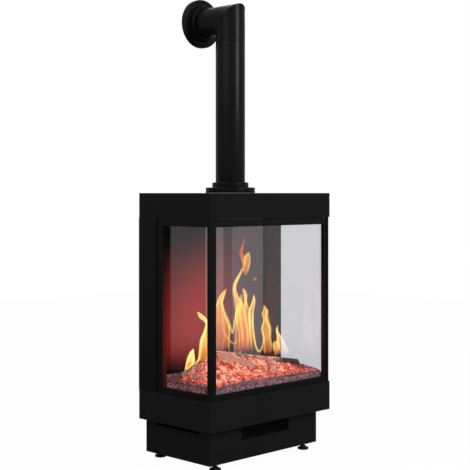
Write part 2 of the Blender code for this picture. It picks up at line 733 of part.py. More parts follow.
def make_heater_element():
    """Finned bar: a spine with fins on its front."""
    low, high = duct_box()
    half = DUCT_WIDTH / 2 - DUCT_WALL - ELEMENT_SIDE_ROOM
    back = low[1] + ELEMENT_SETBACK + ELEMENT_DEPTH
    pitch = 2 * half / FIN_COUNT
    outline = [(half, back), (-half, back)]
    for index in range(FIN_COUNT):
        left = -half + pitch * index
        tip = low[1] + ELEMENT_SETBACK
        foot = back - ELEMENT_SPINE
        right = left + pitch * FIN_SHARE if index < FIN_COUNT - 1 else half
        outline += [(left, tip), (right, tip)]
        if index < FIN_COUNT - 1:
            outline += [(right, foot), (left + pitch, foot)]
    bottom = low[2] + DUCT_WALL + GAP
    top = high[2] - DUCT_WALL - ELEMENT_TOP_ROOM
    piece("heater_element", prism_mesh(outline, bottom, top, "Z"), "aluminium")


def make_control_box():
    x = SHEET + CONTROL_BOX_SIDE_ROOM + CONTROL_BOX_WIDTH / 2 - PLINTH_HALF_WIDTH
    y = REAR - CONTROL_BOX_REAR_INSET - CONTROL_BOX_DEPTH / 2
    bottom = PLINTH_FLOOR + GAP
    bm = tray_mesh(CONTROL_BOX_WIDTH, CONTROL_BOX_DEPTH, bottom + CONTROL_BOX_HEIGHT, bottom, SHEET, FOLD_RADIUS)
    piece("control_box", bm, "grey_plastic", (x, y, 0))


# Mains inlet with its rocker switch


def inlet_face():
    return REAR + GAP + INLET_FLANGE_THICKNESS


def make_mains_inlet():
    x, z = inlet_place()
    face = inlet_face()
    low = (x - INLET_FLANGE_WIDTH / 2, REAR + GAP, z - INLET_FLANGE_HEIGHT / 2)
    high = (x + INLET_FLANGE_WIDTH / 2, face, z + INLET_FLANGE_HEIGHT / 2)
    inlet = block("mains_inlet", low, high, "black_plastic")
    low = (x - INLET_BODY_WIDTH / 2, face - INLET_BODY_DEPTH, z - INLET_BODY_HEIGHT / 2)
    high = (x + INLET_BODY_WIDTH / 2, face - INLET_FLANGE_THICKNESS / 2, z + INLET_BODY_HEIGHT / 2)
    unite(inlet, block_cutter("mains_inlet_body", low, high))

    socket_z = z + SOCKET_CENTRE_RISE
    low = (x - SOCKET_WIDTH / 2, face - SOCKET_DEPTH, socket_z - SOCKET_HEIGHT / 2)
    high = (x + SOCKET_WIDTH / 2, face + OVERRUN, socket_z + SOCKET_HEIGHT / 2)
    subtract(inlet, block_cutter("mains_inlet_socket", low, high))

    well_z = z - ROCKER_CENTRE_DROP
    half_width = ROCKER_WIDTH / 2 + ROCKER_SIDE_ROOM
    half_height = ROCKER_HEIGHT / 2 + ROCKER_END_ROOM
    low = (x - half_width, face - ROCKER_WELL_DEPTH, well_z - half_height)
    high = (x + half_width, face + OVERRUN, well_z + half_height)
    subtract(inlet, block_cutter("mains_inlet_rocker_well", low, high))

    contacts = []
    for offset, drop in ((-CONTACT_SPREAD, CONTACT_DROP), (0, -CONTACT_DROP), (CONTACT_SPREAD, CONTACT_DROP)):
        contact_z = socket_z - drop
        root = face - SOCKET_DEPTH - CONTACT_WIDTH
        low = (x + offset - CONTACT_WIDTH / 2, root, contact_z - CONTACT_HEIGHT / 2)
        high = (x + offset + CONTACT_WIDTH / 2, root + CONTACT_LENGTH, contact_z + CONTACT_HEIGHT / 2)
        contacts.append((low, high))
    unite(inlet, cutter("mains_inlet_contacts", blocks_mesh(contacts)))


def make_mains_rocker():
    """Rocker whose two faces meet in a low crown, drawn with its upper end pressed in."""
    x, z = inlet_place()
    z -= ROCKER_CENTRE_DROP
    half = ROCKER_HEIGHT / 2
    outline = [
        (-ROCKER_DEPTH + ROCKER_PIVOT_DEPTH, -half),
        (ROCKER_PIVOT_DEPTH, -half),
        (ROCKER_PIVOT_DEPTH + ROCKER_CROWN, 0),
        (ROCKER_PIVOT_DEPTH, half),
        (-ROCKER_DEPTH + ROCKER_PIVOT_DEPTH, half),
    ]
    pivot = (x, inlet_face() - ROCKER_PIVOT_DEPTH, z)
    bm = prism_mesh(outline, -ROCKER_WIDTH / 2, ROCKER_WIDTH / 2, "X")
    rocker = piece("mains_rocker", bm, "black_plastic", pivot)
    rocker.rotation_euler = (ROCKER_TILT, 0, 0)


# Casings of the body


def make_base_plate():
    half = HALF_WIDTH - SHEET - PLATE_FIT
    low = (-half, FRONT + SHEET + PLATE_FIT, PLINTH_TOP)
    high = (half, REAR - SHEET - PLATE_FIT, PLINTH_TOP + SHEET)
    block("base_plate", low, high, "black_steel")


def pivot_hole(name, plate_bottom):
    bm = rod_mesh(PIVOT_RADIUS + GAP, plate_bottom - OVERRUN, plate_bottom + SHEET + OVERRUN)
    return cutter(name, bm, (PIVOT_X, PIVOT_Y, 0))


def make_lower_casing():
    bm = tray_mesh(BODY_WIDTH, BODY_DEPTH, LOWER_TOP, PLINTH_TOP, SHEET, FOLD_RADIUS)
    casing = piece("lower_casing", bm, "black_steel", (0, (FRONT + REAR) / 2, 0))
    half = CASSETTE_WIDTH / 2 + CASSETTE_ROOM
    low = (-half, CASSETTE_FRONT - CASSETTE_ROOM, LOWER_TOP - SHEET - OVERRUN)
    high = (half, CASSETTE_REAR + CASSETTE_ROOM, LOWER_TOP + OVERRUN)
    subtract(casing, block_cutter("lower_casing_opening", low, high))
    subtract(casing, pivot_hole("lower_casing_pivot_hole", LOWER_TOP - SHEET))


def make_upper_casing():
    bm = tray_mesh(BODY_WIDTH, BODY_DEPTH, BODY_TOP, UPPER_BOTTOM, SHEET, FOLD_RADIUS)
    casing = piece("upper_casing", bm, "black_steel", (0, (FRONT + REAR) / 2, 0))
    hole = rod_mesh(FLUE_HOLE_RADIUS, BODY_TOP - SHEET - OVERRUN, BODY_TOP + OVERRUN, PIPE_STEPS)
    subtract(casing, cutter("upper_casing_flue_hole", hole, (0, FLUE_Y, 0)))


def make_ceiling_panel():
    half = HALF_WIDTH - SHEET - PLATE_FIT
    low = (-half, FRONT + SHEET + PLATE_FIT, UPPER_BOTTOM)
    high = (half, REAR - SHEET - PLATE_FIT, UPPER_BOTTOM + SHEET)
    panel = block("ceiling_panel", low, high, "black_steel")
    subtract(panel, pivot_hole("ceiling_panel_pivot_hole", UPPER_BOTTOM))


def screw_places():
    places = []
    for side in (-1, 1):
        for z in (BAND_BOTTOM + SCREW_LEVEL, BAND_TOP - SCREW_LEVEL):
            places.append((side * (HALF_WIDTH - SCREW_INSET), z))
    return places


def screw_holes(name, start, end):
    radius = SCREW_RADIUS + SCREW_HOLE_CLEARANCE
    rods = [(rod_mesh(radius, start, end, axis="Y"), (x, 0, z)) for x, z in screw_places()]
    return cutter(name, merged(rods))


def make_rear_columns():
    flange_back = REAR - SHEET - GAP
    for name, side in (("rear_column_left", -1), ("rear_column_right", 1)):
        corners = [
            (0, COLUMN_FRONT),
            (COLUMN_RETURN, COLUMN_FRONT),
            (COLUMN_RETURN, COLUMN_FRONT + SHEET),
            (SHEET, COLUMN_FRONT + SHEET),
            (SHEET, flange_back - SHEET),
            (COLUMN_FLANGE, flange_back - SHEET),
            (COLUMN_FLANGE, flange_back),
            (SHEET, flange_back),
            (SHEET, REAR),
            (0, REAR),
        ]
        outline = [(side * (HALF_WIDTH - inward), y) for inward, y in corners]
        column = piece(name, prism_mesh(outline, BAND_BOTTOM, BAND_TOP, "Z"), "black_steel")
        start = flange_back - SHEET - OVERRUN
        subtract(column, screw_holes(name + "_screw_holes", start, flange_back + OVERRUN))


def make_back_cover():
    half = HALF_WIDTH - SHEET - PLATE_FIT
    cover = block("back_cover", (-half, REAR - SHEET, BAND_BOTTOM), (half, REAR, BAND_TOP), "black_steel")
    subtract(cover, screw_holes("back_cover_screw_holes", REAR - SHEET - OVERRUN, REAR + OVERRUN))
    vents = []
    for index in range(VENT_COUNT):
        x = (index - (VENT_COUNT - 1) / 2) * VENT_PITCH
        low = (x - VENT_WIDTH / 2, REAR - SHEET - OVERRUN, BAND_TOP - VENT_DROP - VENT_HEIGHT)
        high = (x + VENT_WIDTH / 2, REAR + OVERRUN, BAND_TOP - VENT_DROP)
        vents.append((low, high))
    subtract(cover, cutter("back_cover_vents", blocks_mesh(vents)))


def make_back_cover_screws():
    head = REAR + GAP
    profile = [
        (0, head - SCREW_LENGTH),
        (SCREW_RADIUS, head - SCREW_LENGTH),
        (SCREW_RADIUS, head),
        (SCREW_HEAD_RADIUS, head),
        (SCREW_HEAD_RADIUS, head + SCREW_HEAD_THICKNESS / 2),
        (SCREW_HEAD_RADIUS / 2, head + SCREW_HEAD_THICKNESS),
        (0, head + SCREW_HEAD_THICKNESS),
    ]
    for number, (x, z) in enumerate(screw_places(), 1):
        bm = turned_mesh(profile, PIN_STEPS, "Y")
        piece(f"back_cover_screw_{number}", bm, "bright_steel", (x, 0, z), rounded=True)


# Fire chamber


def make_back_panel():
    half = HALF_WIDTH - PANE_OUTER
    plate = BACK_PANEL_Y + SHEET
    back = BACK_PANEL_Y + BACK_PANEL_FLANGE
    right = [(half, BACK_PANEL_Y), (half, back), (half - SHEET, back), (half - SHEET, plate)]
    left = [(-x, y) for x, y in reversed(right)]
    piece("chamber_back_panel", prism_mesh(right + left, BAND_BOTTOM, BAND_TOP, "Z"), "chamber_steel")


def make_liners():
    for name, side in (("chamber_liner_left", -1), ("chamber_liner_right", 1)):
        edges = sorted((side * (HALF_WIDTH - PANE_OUTER), side * (HALF_WIDTH - PANE_OUTER - SHEET)))
        low = (edges[0], PANE_REAR + GAP, BAND_BOTTOM)
        high = (edges[1], BACK_PANEL_Y - GAP, BAND_TOP)
        block(name, low, high, "chamber_steel")


def side_block(side, outer, inner, rest_low, rest_high):
    """Corners of a box that lies between two depths below a side of the body."""
    edges = sorted((side * (HALF_WIDTH - outer), side * (HALF_WIDTH - inner)))
    return (edges[0], *rest_low), (edges[1], *rest_high)


def make_side_frames():
    rear = COLUMN_FRONT - GAP
    for name, side in (("side_frame_left", -1), ("side_frame_right", 1)):
        low, high = side_block(side, GLASS_INSET, FRAME_INNER, (DOOR_FRONT, BAND_BOTTOM), (rear, BAND_TOP))
        frame = block(name, low, high, "black_steel")
        opening_low = (DOOR_BACK, OPENING_BOTTOM)
        opening_high = (SIDE_OPENING_REAR, OPENING_TOP)
        outer = GLASS_INSET - OVERRUN
        inner = FRAME_INNER + OVERRUN
        low, high = side_block(side, outer, inner, opening_low, opening_high)
        subtract(frame, block_cutter(name + "_opening", low, high))
        post = GLASS_INSET + POST_WIDTH
        door_low = (DOOR_FRONT - OVERRUN, BAND_BOTTOM - OVERRUN)
        door_high = (PANE_FRONT, BAND_TOP + OVERRUN)
        low, high = side_block(side, post, inner, door_low, door_high)
        subtract(frame, block_cutter(name + "_door_room", low, high))


def make_side_glasses():
    for name, side in (("side_glass_left", -1), ("side_glass_right", 1)):
        low, high = side_block(side, PANE_OUTER, PANE_INNER, (PANE_FRONT, PANE_BOTTOM), (PANE_REAR, PANE_TOP))
        block(name, low, high, "glass")


def make_side_seals():
    """Gasket along three edges of each side pane, open towards the door."""
    outline = [
        (PANE_FRONT, PANE_BOTTOM),
        (PANE_REAR, PANE_BOTTOM),
        (PANE_REAR, PANE_TOP),
        (PANE_FRONT, PANE_TOP),
        (PANE_FRONT, PANE_TOP - SEAL_WIDTH),
        (PANE_REAR - SEAL_WIDTH, PANE_TOP - SEAL_WIDTH),
        (PANE_REAR - SEAL_WIDTH, PANE_BOTTOM + SEAL_WIDTH),
        (PANE_FRONT, PANE_BOTTOM + SEAL_WIDTH),
    ]
    outer = FRAME_INNER + GAP
    for name, side in (("side_seal_left", -1), ("side_seal_right", 1)):
        start = side * (HALF_WIDTH - outer)
        end = side * (HALF_WIDTH - outer - SEAL_THICKNESS)
        piece(name, prism_mesh(outline, start, end, "X"), "gasket")


# Door


def make_door_frame(pivot):
    """Frame with a round nose about the pivot, an opening and a rebate for the pane."""
    nose = DOOR_THICKNESS / 2
    outline = [(-DOOR_HALF_WIDTH, DOOR_BACK), (-DOOR_HALF_WIDTH, DOOR_FRONT)]
    for step in range(NOSE_STEPS + 1):
        angle = math.pi * (step / NOSE_STEPS - 0.5)
        outline.append((PIVOT_X + nose * math.cos(angle), PIVOT_Y + nose * math.sin(angle)))
    frame = piece("door_frame", prism_mesh(outline, DOOR_BOTTOM, DOOR_TOP, "Z"), "black_steel", parent=pivot)

    low = (-DOOR_OPENING_HALF, DOOR_FRONT - OVERRUN, OPENING_BOTTOM)
    high = (DOOR_OPENING_HALF, DOOR_BACK + OVERRUN, OPENING_TOP)
    subtract(frame, block_cutter("door_frame_opening", low, high, pivot))
    low = (-DOOR_OPENING_HALF - PANE_LAP, DOOR_FRONT + DOOR_FACE_WALL, PANE_BOTTOM)
    high = (DOOR_OPENING_HALF + PANE_LAP, DOOR_BACK + OVERRUN, PANE_TOP)
    subtract(frame, block_cutter("door_frame_rebate", low, high, pivot))

    depth = PIVOT_REACH + PIVOT_END_ROOM
    for name, start, end in (
        ("door_frame_lower_hole", DOOR_BOTTOM - OVERRUN, DOOR_BOTTOM + depth),
        ("door_frame_upper_hole", DOOR_TOP - depth, DOOR_TOP + OVERRUN),
    ):
        hole = rod_mesh(PIVOT_RADIUS + GAP, start, end)
        subtract(frame, cutter(name, hole, (PIVOT_X, PIVOT_Y, 0), pivot))


def make_door_glazing(pivot):
    half = DOOR_OPENING_HALF + PANE_LAP - GAP
    bottom = PANE_BOTTOM + GAP
    top = PANE_TOP - GAP
    front = DOOR_FRONT + DOOR_FACE_WALL + GAP
    back = front + GLASS_THICKNESS
    block("door_glass", (-half, front, bottom), (half, back, top), "glass", pivot)
    outer = rectangle((-half, bottom), (half, top))
    inner = rectangle((-half + SEAL_WIDTH, bottom + SEAL_WIDTH), (half - SEAL_WIDTH, top - SEAL_WIDTH))
    bm = ring_prism_mesh(outer, inner, back + GAP, back + GAP + SEAL_THICKNESS, "Y")
    piece("door_seal", bm, "gasket", parent=pivot)


def make_pivot_pins():
    """Pins riveted into the plates below and above the door."""
    head_face = SHEET + GAP
    base = [
        (0, -head_face - PIVOT_HEAD_THICKNESS),
        (PIVOT_HEAD_RADIUS, -head_face - PIVOT_HEAD_THICKNESS),
        (PIVOT_HEAD_RADIUS, -head_face),
        (PIVOT_RADIUS, -head_face),
    ]
    washer = [(PIVOT_RADIUS, GAP), (PIVOT_HEAD_RADIUS, GAP)]
    washer += [(PIVOT_HEAD_RADIUS, DOOR_GAP - GAP), (PIVOT_RADIUS, DOOR_GAP - GAP)]
    tip = [(PIVOT_RADIUS, DOOR_GAP + PIVOT_REACH), (0, DOOR_GAP + PIVOT_REACH)]
    for name, level, sign in (("door_pin_lower", LOWER_TOP, 1), ("door_pin_upper", UPPER_BOTTOM, -1)):
        profile = [(radius, sign * along) for radius, along in base + washer + tip]
        bm = turned_mesh(profile, PIN_STEPS)
        piece(name, bm, "bright_steel", (PIVOT_X, PIVOT_Y, level), rounded=True)


def make_door_catch(pivot):
    x = -(HALF_WIDTH - CATCH_INSET)
    top = BAND_TOP
    z = top - CATCH_HEIGHT / 2
    strike_front = DOOR_BACK + GAP
    strike_back = strike_front + STRIKE_THICKNESS
    low = (x - CATCH_WIDTH / 2, strike_front, z - STRIKE_HEIGHT / 2)
    high = (x + CATCH_WIDTH / 2, strike_back, z + STRIKE_HEIGHT / 2)
    block("door_strike", low, high, "bright_steel", pivot)

    body_front = DOOR_BACK + CATCH_SETBACK
    low = (x - CATCH_WIDTH / 2, body_front, top - CATCH_HEIGHT)
    high = (x + CATCH_WIDTH / 2, body_front + CATCH_LENGTH, top)
    body = block("catch_body", low, high, "black_plastic")
    plunger_front = strike_back + GAP
    bore_end = plunger_front + PLUNGER_LENGTH + PLUNGER_TRAVEL + GAP
    bore = rod_mesh(PLUNGER_RADIUS + GAP, body_front - OVERRUN, bore_end, axis="Y")
    subtract(body, cutter("catch_body_bore", bore, (x, 0, z)))

    profile = [
        (0, 0),
        (PLUNGER_RADIUS - PLUNGER_CHAMFER, 0),
        (PLUNGER_RADIUS, PLUNGER_CHAMFER),
        (PLUNGER_RADIUS, PLUNGER_LENGTH),
        (0, PLUNGER_LENGTH),
    ]
    bm = turned_mesh(profile, PIN_STEPS, "Y")
    piece("catch_plunger", bm, "black_plastic", (x, plunger_front, z), rounded=True)


def make_door():
    pivot = empty("door_pivot", (PIVOT_X, PIVOT_Y, DOOR_BOTTOM))
    make_door_frame(pivot)
    make_door_glazing(pivot)
    make_pivot_pins()
    make_door_catch(pivot)


# Bed, logs and the flame unit under them


def make_bed_tray():
    middle = (TRAY_FRONT + TRAY_REAR) / 2
    depth = TRAY_REAR - TRAY_FRONT
    bm = tray_mesh(2 * TRAY_HALF_WIDTH, depth, BED_FLOOR, BAND_BOTTOM, SHEET, FOLD_RADIUS)
    tray = piece("bed_tray", bm, "ash_grey", (0, middle, 0))
    half = TRAY_HALF_WIDTH - FOLD_RADIUS
    low = (-half, TRAY_REAR - SHEET, BED_FLOOR - SHEET / 2)
    high = (half, TRAY_REAR, BED_FLOOR + TRAY_UPSTAND)
    unite(tray, block_cutter("bed_tray_upstand", low, high))
    half = NOZZLE_WIDTH / 2 + TRAY_SLOT_ROOM
    front = NOZZLE_MIDDLE - NOZZLE_DEPTH / 2 - TRAY_SLOT_ROOM
    rear = LAMP_BAR_FRONT + LAMP_BAR_DEPTH + TRAY_SLOT_ROOM
    low = (-half, front, BED_FLOOR - SHEET - OVERRUN)
    high = (half, rear, BED_FLOOR + OVERRUN)
    subtract(tray, block_cutter("bed_tray_slot", low, high))


def bed_bounds():
    half = TRAY_HALF_WIDTH - BED_EDGE_ROOM
    return -half, half, TRAY_FRONT + BED_FRONT_ROOM, TRAY_REAR - BED_REAR_ROOM


def eased(share):
    """Share that starts and ends level."""
    return share * share * (3 - 2 * share)


def bed_height(across, along):
    """Height of the bed above its edge, for shares of its width and depth."""
    peak_across, peak_along = BED_PEAK_SHARES
    if across < peak_across:
        rise = eased(across / peak_across)
    else:
        rise = 1 - (1 - BED_RIGHT_SHARE) * (across - peak_across) / (1 - peak_across)
    if along < peak_along:
        swell = math.sin(math.pi / 2 * along / peak_along)
    else:
        swell = 1 - (1 - BED_REAR_SHARE) * eased((along - peak_along) / (1 - peak_along))
    inside = min(across, 1 - across, along, 1 - along) > 0
    first, second, third, fourth = LUMP_WAVES
    lumps = math.sin(first * across) * math.cos(second * along)
    lumps += math.sin(third * across + fourth * along)
    return BED_CROWN * rise * swell + (BED_LUMP * lumps if inside else 0)


def make_ember_bed():
    left, right, front, rear = bed_bounds()
    bm = bmesh.new()
    rows = []
    for row in range(BED_ROWS + 1):
        along = row / BED_ROWS
        points = []
        for column in range(BED_COLUMNS + 1):
            across = column / BED_COLUMNS
            x = left + (right - left) * across
            y = front + (rear - front) * along
            z = BED_BOTTOM + BED_EDGE_HEIGHT + bed_height(across, along)
            points.append(bm.verts.new((x, y, z)))
        rows.append(points)
    for row, following in zip(rows, rows[1:]):
        for column in range(BED_COLUMNS):
            bm.faces.new((row[column], row[column + 1], following[column + 1], following[column]))
    rim = rows[0] + [row[-1] for row in rows[1:-1]]
    rim += rows[-1][::-1] + [row[0] for row in reversed(rows[1:-1])]
    foot = [bm.verts.new((vert.co.x, vert.co.y, BED_BOTTOM)) for vert in rim]
    for index in range(len(rim)):
        other = (index + 1) % len(rim)
        bm.faces.new((rim[index], rim[other], foot[other], foot[index]))
    bm.faces.new(foot)
    bed = piece("ember_bed", bm, "ember")

    half = NOZZLE_WIDTH / 2 - NOZZLE_WALL
    depth = NOZZLE_DEPTH / 2 - NOZZLE_WALL
    low = (-half, NOZZLE_MIDDLE - depth, BED_BOTTOM - OVERRUN)
    high = (half, NOZZLE_MIDDLE + depth, BED_BOTTOM + BED_EDGE_HEIGHT + BED_CROWN + OVERRUN)
    subtract(bed, block_cutter("ember_bed_mist_slot", low, high))
    return bed


def log_point(shares):
    across, along, lift = shares
    z = BED_BOTTOM + BED_EDGE_HEIGHT + BED_CROWN * lift
    return Vector((-HALF_WIDTH + BODY_WIDTH * across, FRONT + BODY_DEPTH * along, z))


def log_mesh(length, radius, clearance, split):
    """Log along +Z, a little crooked and thinner towards its end, with a flat face if it is split."""
    bm = bmesh.new()
    rings = []
    for ring in range(LOG_RINGS):
        share = ring / (LOG_RINGS - 1)
        along = length * share
        if clearance:
            along += clearance if ring else -clearance
        wave = LOG_WAVE_SHARE * math.sin(LOG_WAVES * share)
        reach = radius * (1 - LOG_TAPER_SHARE * share + wave) + clearance
        bend = radius * LOG_BEND_SHARE * math.sin(math.pi * share)
        points = []
        for step in range(LOG_SIDES):
            angle = 2 * math.pi * step / LOG_SIDES
            facing = math.cos(angle - LOG_SPLIT_ANGLE)
            span = reach
            if split and facing > LOG_SPLIT_SHARE:
                span *= LOG_SPLIT_SHARE / facing
            point = (bend + span * math.cos(angle), span * math.sin(angle), along)
            points.append(bm.verts.new(point))
        rings.append(points)
    for ring, following in zip(rings, rings[1:]):
        for step in range(LOG_SIDES):
            other = (step + 1) % LOG_SIDES
            bm.faces.new((ring[step], ring[other], following[other], following[step]))
    bm.faces.new(rings[0])
    bm.faces.new(rings[-1])
    return bm


def make_logs(bed):
    """Logs bedded in the embers, each in a recess of its own."""
    for name, start_shares, end_shares, radius_share in LOG_SHARES:
        start = log_point(start_shares)
        end = log_point(end_shares)
        run = end - start
        radius = LOG_RADIUS * radius_share
        turn = run.to_track_quat("Z", "Y").to_euler()
        split = name == SPLIT_LOG
        log = piece(name, log_mesh(run.length, radius, 0, split), "log", start, rounded=True)
        log.rotation_euler = turn
        recess = cutter(name + "_recess", log_mesh(run.length, radius, 2 * GAP, split), start)
        recess.rotation_euler = turn
        subtract(bed, recess)


def make_mist_cassette():
    floor = PLINTH_TOP + SHEET + GAP
    top = floor + CASSETTE_HEIGHT
    bm = tray_mesh(CASSETTE_WIDTH, CASSETTE_DEPTH, floor, top, SHEET, CASSETTE_RADIUS)
    piece("mist_cassette", bm, "grey_plastic", (0, CASSETTE_MIDDLE, 0))
    return floor + SHEET + GAP, top + GAP


def make_mist_nozzle(lid_bottom):
    """Lid of the cassette with a slot-shaped chimney that opens below the embers."""
    half = CASSETTE_WIDTH / 2 + NOZZLE_LID_EDGE
    lid_top = lid_bottom + NOZZLE_LID_THICKNESS
    low = (-half, CASSETTE_FRONT - NOZZLE_LID_EDGE, lid_bottom)
    high = (half, CASSETTE_REAR + NOZZLE_LID_EDGE, lid_top)
    nozzle = block("mist_nozzle", low, high, "grey_plastic")
    top = BED_FLOOR - NOZZLE_TOP_ROOM
    low = (-NOZZLE_WIDTH / 2, NOZZLE_MIDDLE - NOZZLE_DEPTH / 2, lid_bottom + NOZZLE_LID_THICKNESS / 2)
    high = (NOZZLE_WIDTH / 2, NOZZLE_MIDDLE + NOZZLE_DEPTH / 2, top)
    unite(nozzle, block_cutter("mist_nozzle_chimney", low, high))
    half = NOZZLE_WIDTH / 2 - NOZZLE_WALL
    depth = NOZZLE_DEPTH / 2 - NOZZLE_WALL
    low = (-half, NOZZLE_MIDDLE - depth, lid_bottom - OVERRUN)
    high = (half, NOZZLE_MIDDLE + depth, top + OVERRUN)
    subtract(nozzle, block_cutter("mist_nozzle_slot", low, high))
    return lid_top


def make_water_tank(floor):
    left = -CASSETTE_WIDTH / 2 + SHEET + TANK_ROOM
    front = CASSETTE_FRONT + SHEET + TANK_ROOM
    rear = CASSETTE_REAR - SHEET - TANK_ROOM
    top = floor + TANK_HEIGHT
    tank = block("water_tank", (left, front, floor), (left + TANK_WIDTH, rear, top), "tank")
    centre = (left + TANK_WIDTH / 2, (front + rear) / 2, 0)
    neck = rod_mesh(TANK_NECK_RADIUS, top - TANK_WALL / 2, top + TANK_NECK_HEIGHT, 2 * PIN_STEPS)
    unite(tank, cutter("water_tank_neck", neck, centre))
    low = (left + TANK_WALL, front + TANK_WALL, floor + TANK_WALL)
    high = (left + TANK_WIDTH - TANK_WALL, rear - TANK_WALL, top - TANK_WALL)
    subtract(tank, block_cutter("water_tank_inside", low, high))
    bore = rod_mesh(TANK_NECK_RADIUS - TANK_WALL, top - 2 * TANK_WALL, top + TANK_NECK_HEIGHT + OVERRUN)
    subtract(tank, cutter("water_tank_mouth", bore, centre))


def make_mist_transducer(floor):
    profile = [
        (0, MISTER_HEIGHT - MISTER_WELL_DEPTH),
        (MISTER_WELL_RADIUS, MISTER_HEIGHT - MISTER_WELL_DEPTH),
        (MISTER_WELL_RADIUS, MISTER_HEIGHT),
        (MISTER_RADIUS, MISTER_HEIGHT),
        (MISTER_RADIUS, 0),
        (0, 0),
    ]
    bm = turned_mesh(profile, 2 * PIN_STEPS)
    piece("mist_transducer", bm, "bright_steel", (MISTER_OFFSET, CASSETTE_MIDDLE, floor), rounded=True)


def make_flame_lamp_bar(lid_top):
    """Bar with a row of lamps that shine up through the embers."""
    bottom = lid_top + GAP
    middle = LAMP_BAR_FRONT + LAMP_BAR_DEPTH / 2
    low = (-LAMP_BAR_WIDTH / 2, LAMP_BAR_FRONT, bottom)
    high = (LAMP_BAR_WIDTH / 2, LAMP_BAR_FRONT + LAMP_BAR_DEPTH, bottom + LAMP_BAR_HEIGHT)
    bar = block("flame_lamp_bar", low, high, "lamp")
    lamps = []
    pitch = LAMP_BAR_WIDTH / LAMP_COUNT
    for index in range(LAMP_COUNT):
        x = (index - (LAMP_COUNT - 1) / 2) * pitch
        foot = bottom + LAMP_BAR_HEIGHT / 2
        top = bottom + LAMP_BAR_HEIGHT + LAMP_HEIGHT
        profile = [(0, foot), (LAMP_RADIUS, foot), (LAMP_RADIUS, top - LAMP_RADIUS / 2), (LAMP_RADIUS / 2, top)]
        lamps.append((turned_mesh(profile + [(0, top)], LAMP_STEPS), (x, middle, 0)))
    unite(bar, cutter("flame_lamp_bar_lamps", merged(lamps)))


def make_flame_unit():
    floor, lid_bottom = make_mist_cassette()
    lid_top = make_mist_nozzle(lid_bottom)
    make_water_tank(floor)
    make_mist_transducer(floor)
    make_flame_lamp_bar(lid_top)


# Flue


def swaged_pipe_profile(length):
    """Pipe with a narrowed end that slips into the elbow."""
    outer = PIPE_RADIUS - PIPE_WALL - GAP
    end = length + SWAGE_LENGTH
    return [
        (PIPE_RADIUS, 0),
        (PIPE_RADIUS, length),
        (outer, length),
        (outer, end),
        (outer - PIPE_WALL, end),
        (outer - PIPE_WALL, length - PIPE_WALL),
        (PIPE_RADIUS - PIPE_WALL, length - 2 * PIPE_WALL),
        (PIPE_RADIUS - PIPE_WALL, 0),
    ]


def rosette_profile():
    bore = PIPE_RADIUS + GAP
    return [
        (bore, ROSETTE_HEIGHT - SHEET),
        (bore, ROSETTE_HEIGHT),
        (ROSETTE_RADIUS - ROSETTE_CHAMFER, ROSETTE_HEIGHT),
        (ROSETTE_RADIUS, ROSETTE_HEIGHT - ROSETTE_CHAMFER),
        (ROSETTE_RADIUS, 0),
        (ROSETTE_RADIUS - ROSETTE_FLANGE, 0),
        (ROSETTE_RADIUS - ROSETTE_FLANGE, SHEET),
        (ROSETTE_RADIUS - SHEET, SHEET),
        (ROSETTE_RADIUS - SHEET, ROSETTE_HEIGHT - SHEET),
    ]


def collar_profile():
    bore = PIPE_RADIUS + GAP
    return [
        (bore, COLLAR_HEIGHT - SHEET),
        (bore, COLLAR_HEIGHT),
        (COLLAR_RADIUS - ROSETTE_CHAMFER, COLLAR_HEIGHT),
        (COLLAR_RADIUS, COLLAR_HEIGHT - ROSETTE_CHAMFER),
        (COLLAR_RADIUS, 0),
        (COLLAR_RADIUS - SHEET, 0),
        (COLLAR_RADIUS - SHEET, COLLAR_HEIGHT - SHEET),
    ]


def flue_piece(name, profile, location, towards):
    """Turned piece of the flue that grows upwards, or from the wall towards the body."""
    if towards == "up":
        bm = turned_mesh(profile, PIPE_STEPS)
    else:
        bm = turned_mesh([(radius, -along) for radius, along in profile], PIPE_STEPS, "Y")
    piece(name, bm, "black_steel", location, rounded=True)


def make_elbow():
    """Two straight legs that meet in one mitre."""
    bm = bmesh.new()
    loops = []
    for radius, order in ((PIPE_RADIUS, (0, 1, 2)), (PIPE_RADIUS - PIPE_WALL, (2, 1, 0))):
        rings = []
        for place_in_run in order:
            ring = []
            for step in range(PIPE_STEPS):
                angle = 2 * math.pi * step / PIPE_STEPS
                x = radius * math.cos(angle)
                across = radius * math.sin(angle)
                run = ((x, across, -ELBOW_LEG), (x, across, -across), (x, ELBOW_LEG, -across))
                ring.append(bm.verts.new(run[place_in_run]))
            rings.append(ring)
        loops += rings
    for loop, following in zip(loops, loops[1:] + loops[:1]):
        for step in range(PIPE_STEPS):
            other = (step + 1) % PIPE_STEPS
            bm.faces.new((loop[step], loop[other], following[other], following[step]))
    piece("flue_elbow", bm, "black_steel", (0, FLUE_Y, FLUE_AXIS_Z), rounded=True)


def make_flue():
    foot = BODY_TOP + GAP
    flue_piece("flue_base_rosette", rosette_profile(), (0, FLUE_Y, foot), "up")
    collar_foot = foot + ROSETTE_HEIGHT + GAP
    flue_piece("flue_base_collar", collar_profile(), (0, FLUE_Y, collar_foot), "up")
    rise = FLUE_AXIS_Z - ELBOW_LEG - GAP - foot
    flue_piece("flue_pipe", swaged_pipe_profile(rise), (0, FLUE_Y, foot), "up")
    make_elbow()
    run = WALL - FLUE_Y - ELBOW_LEG - GAP
    flue_piece("flue_wall_pipe", swaged_pipe_profile(run), (0, WALL, FLUE_AXIS_Z), "wall")
    flue_piece("flue_wall_rosette", rosette_profile(), (0, WALL, FLUE_AXIS_Z), "wall")
    collar_foot = WALL - ROSETTE_HEIGHT - GAP
    flue_piece("flue_wall_collar", collar_profile(), (0, collar_foot, FLUE_AXIS_Z), "wall")


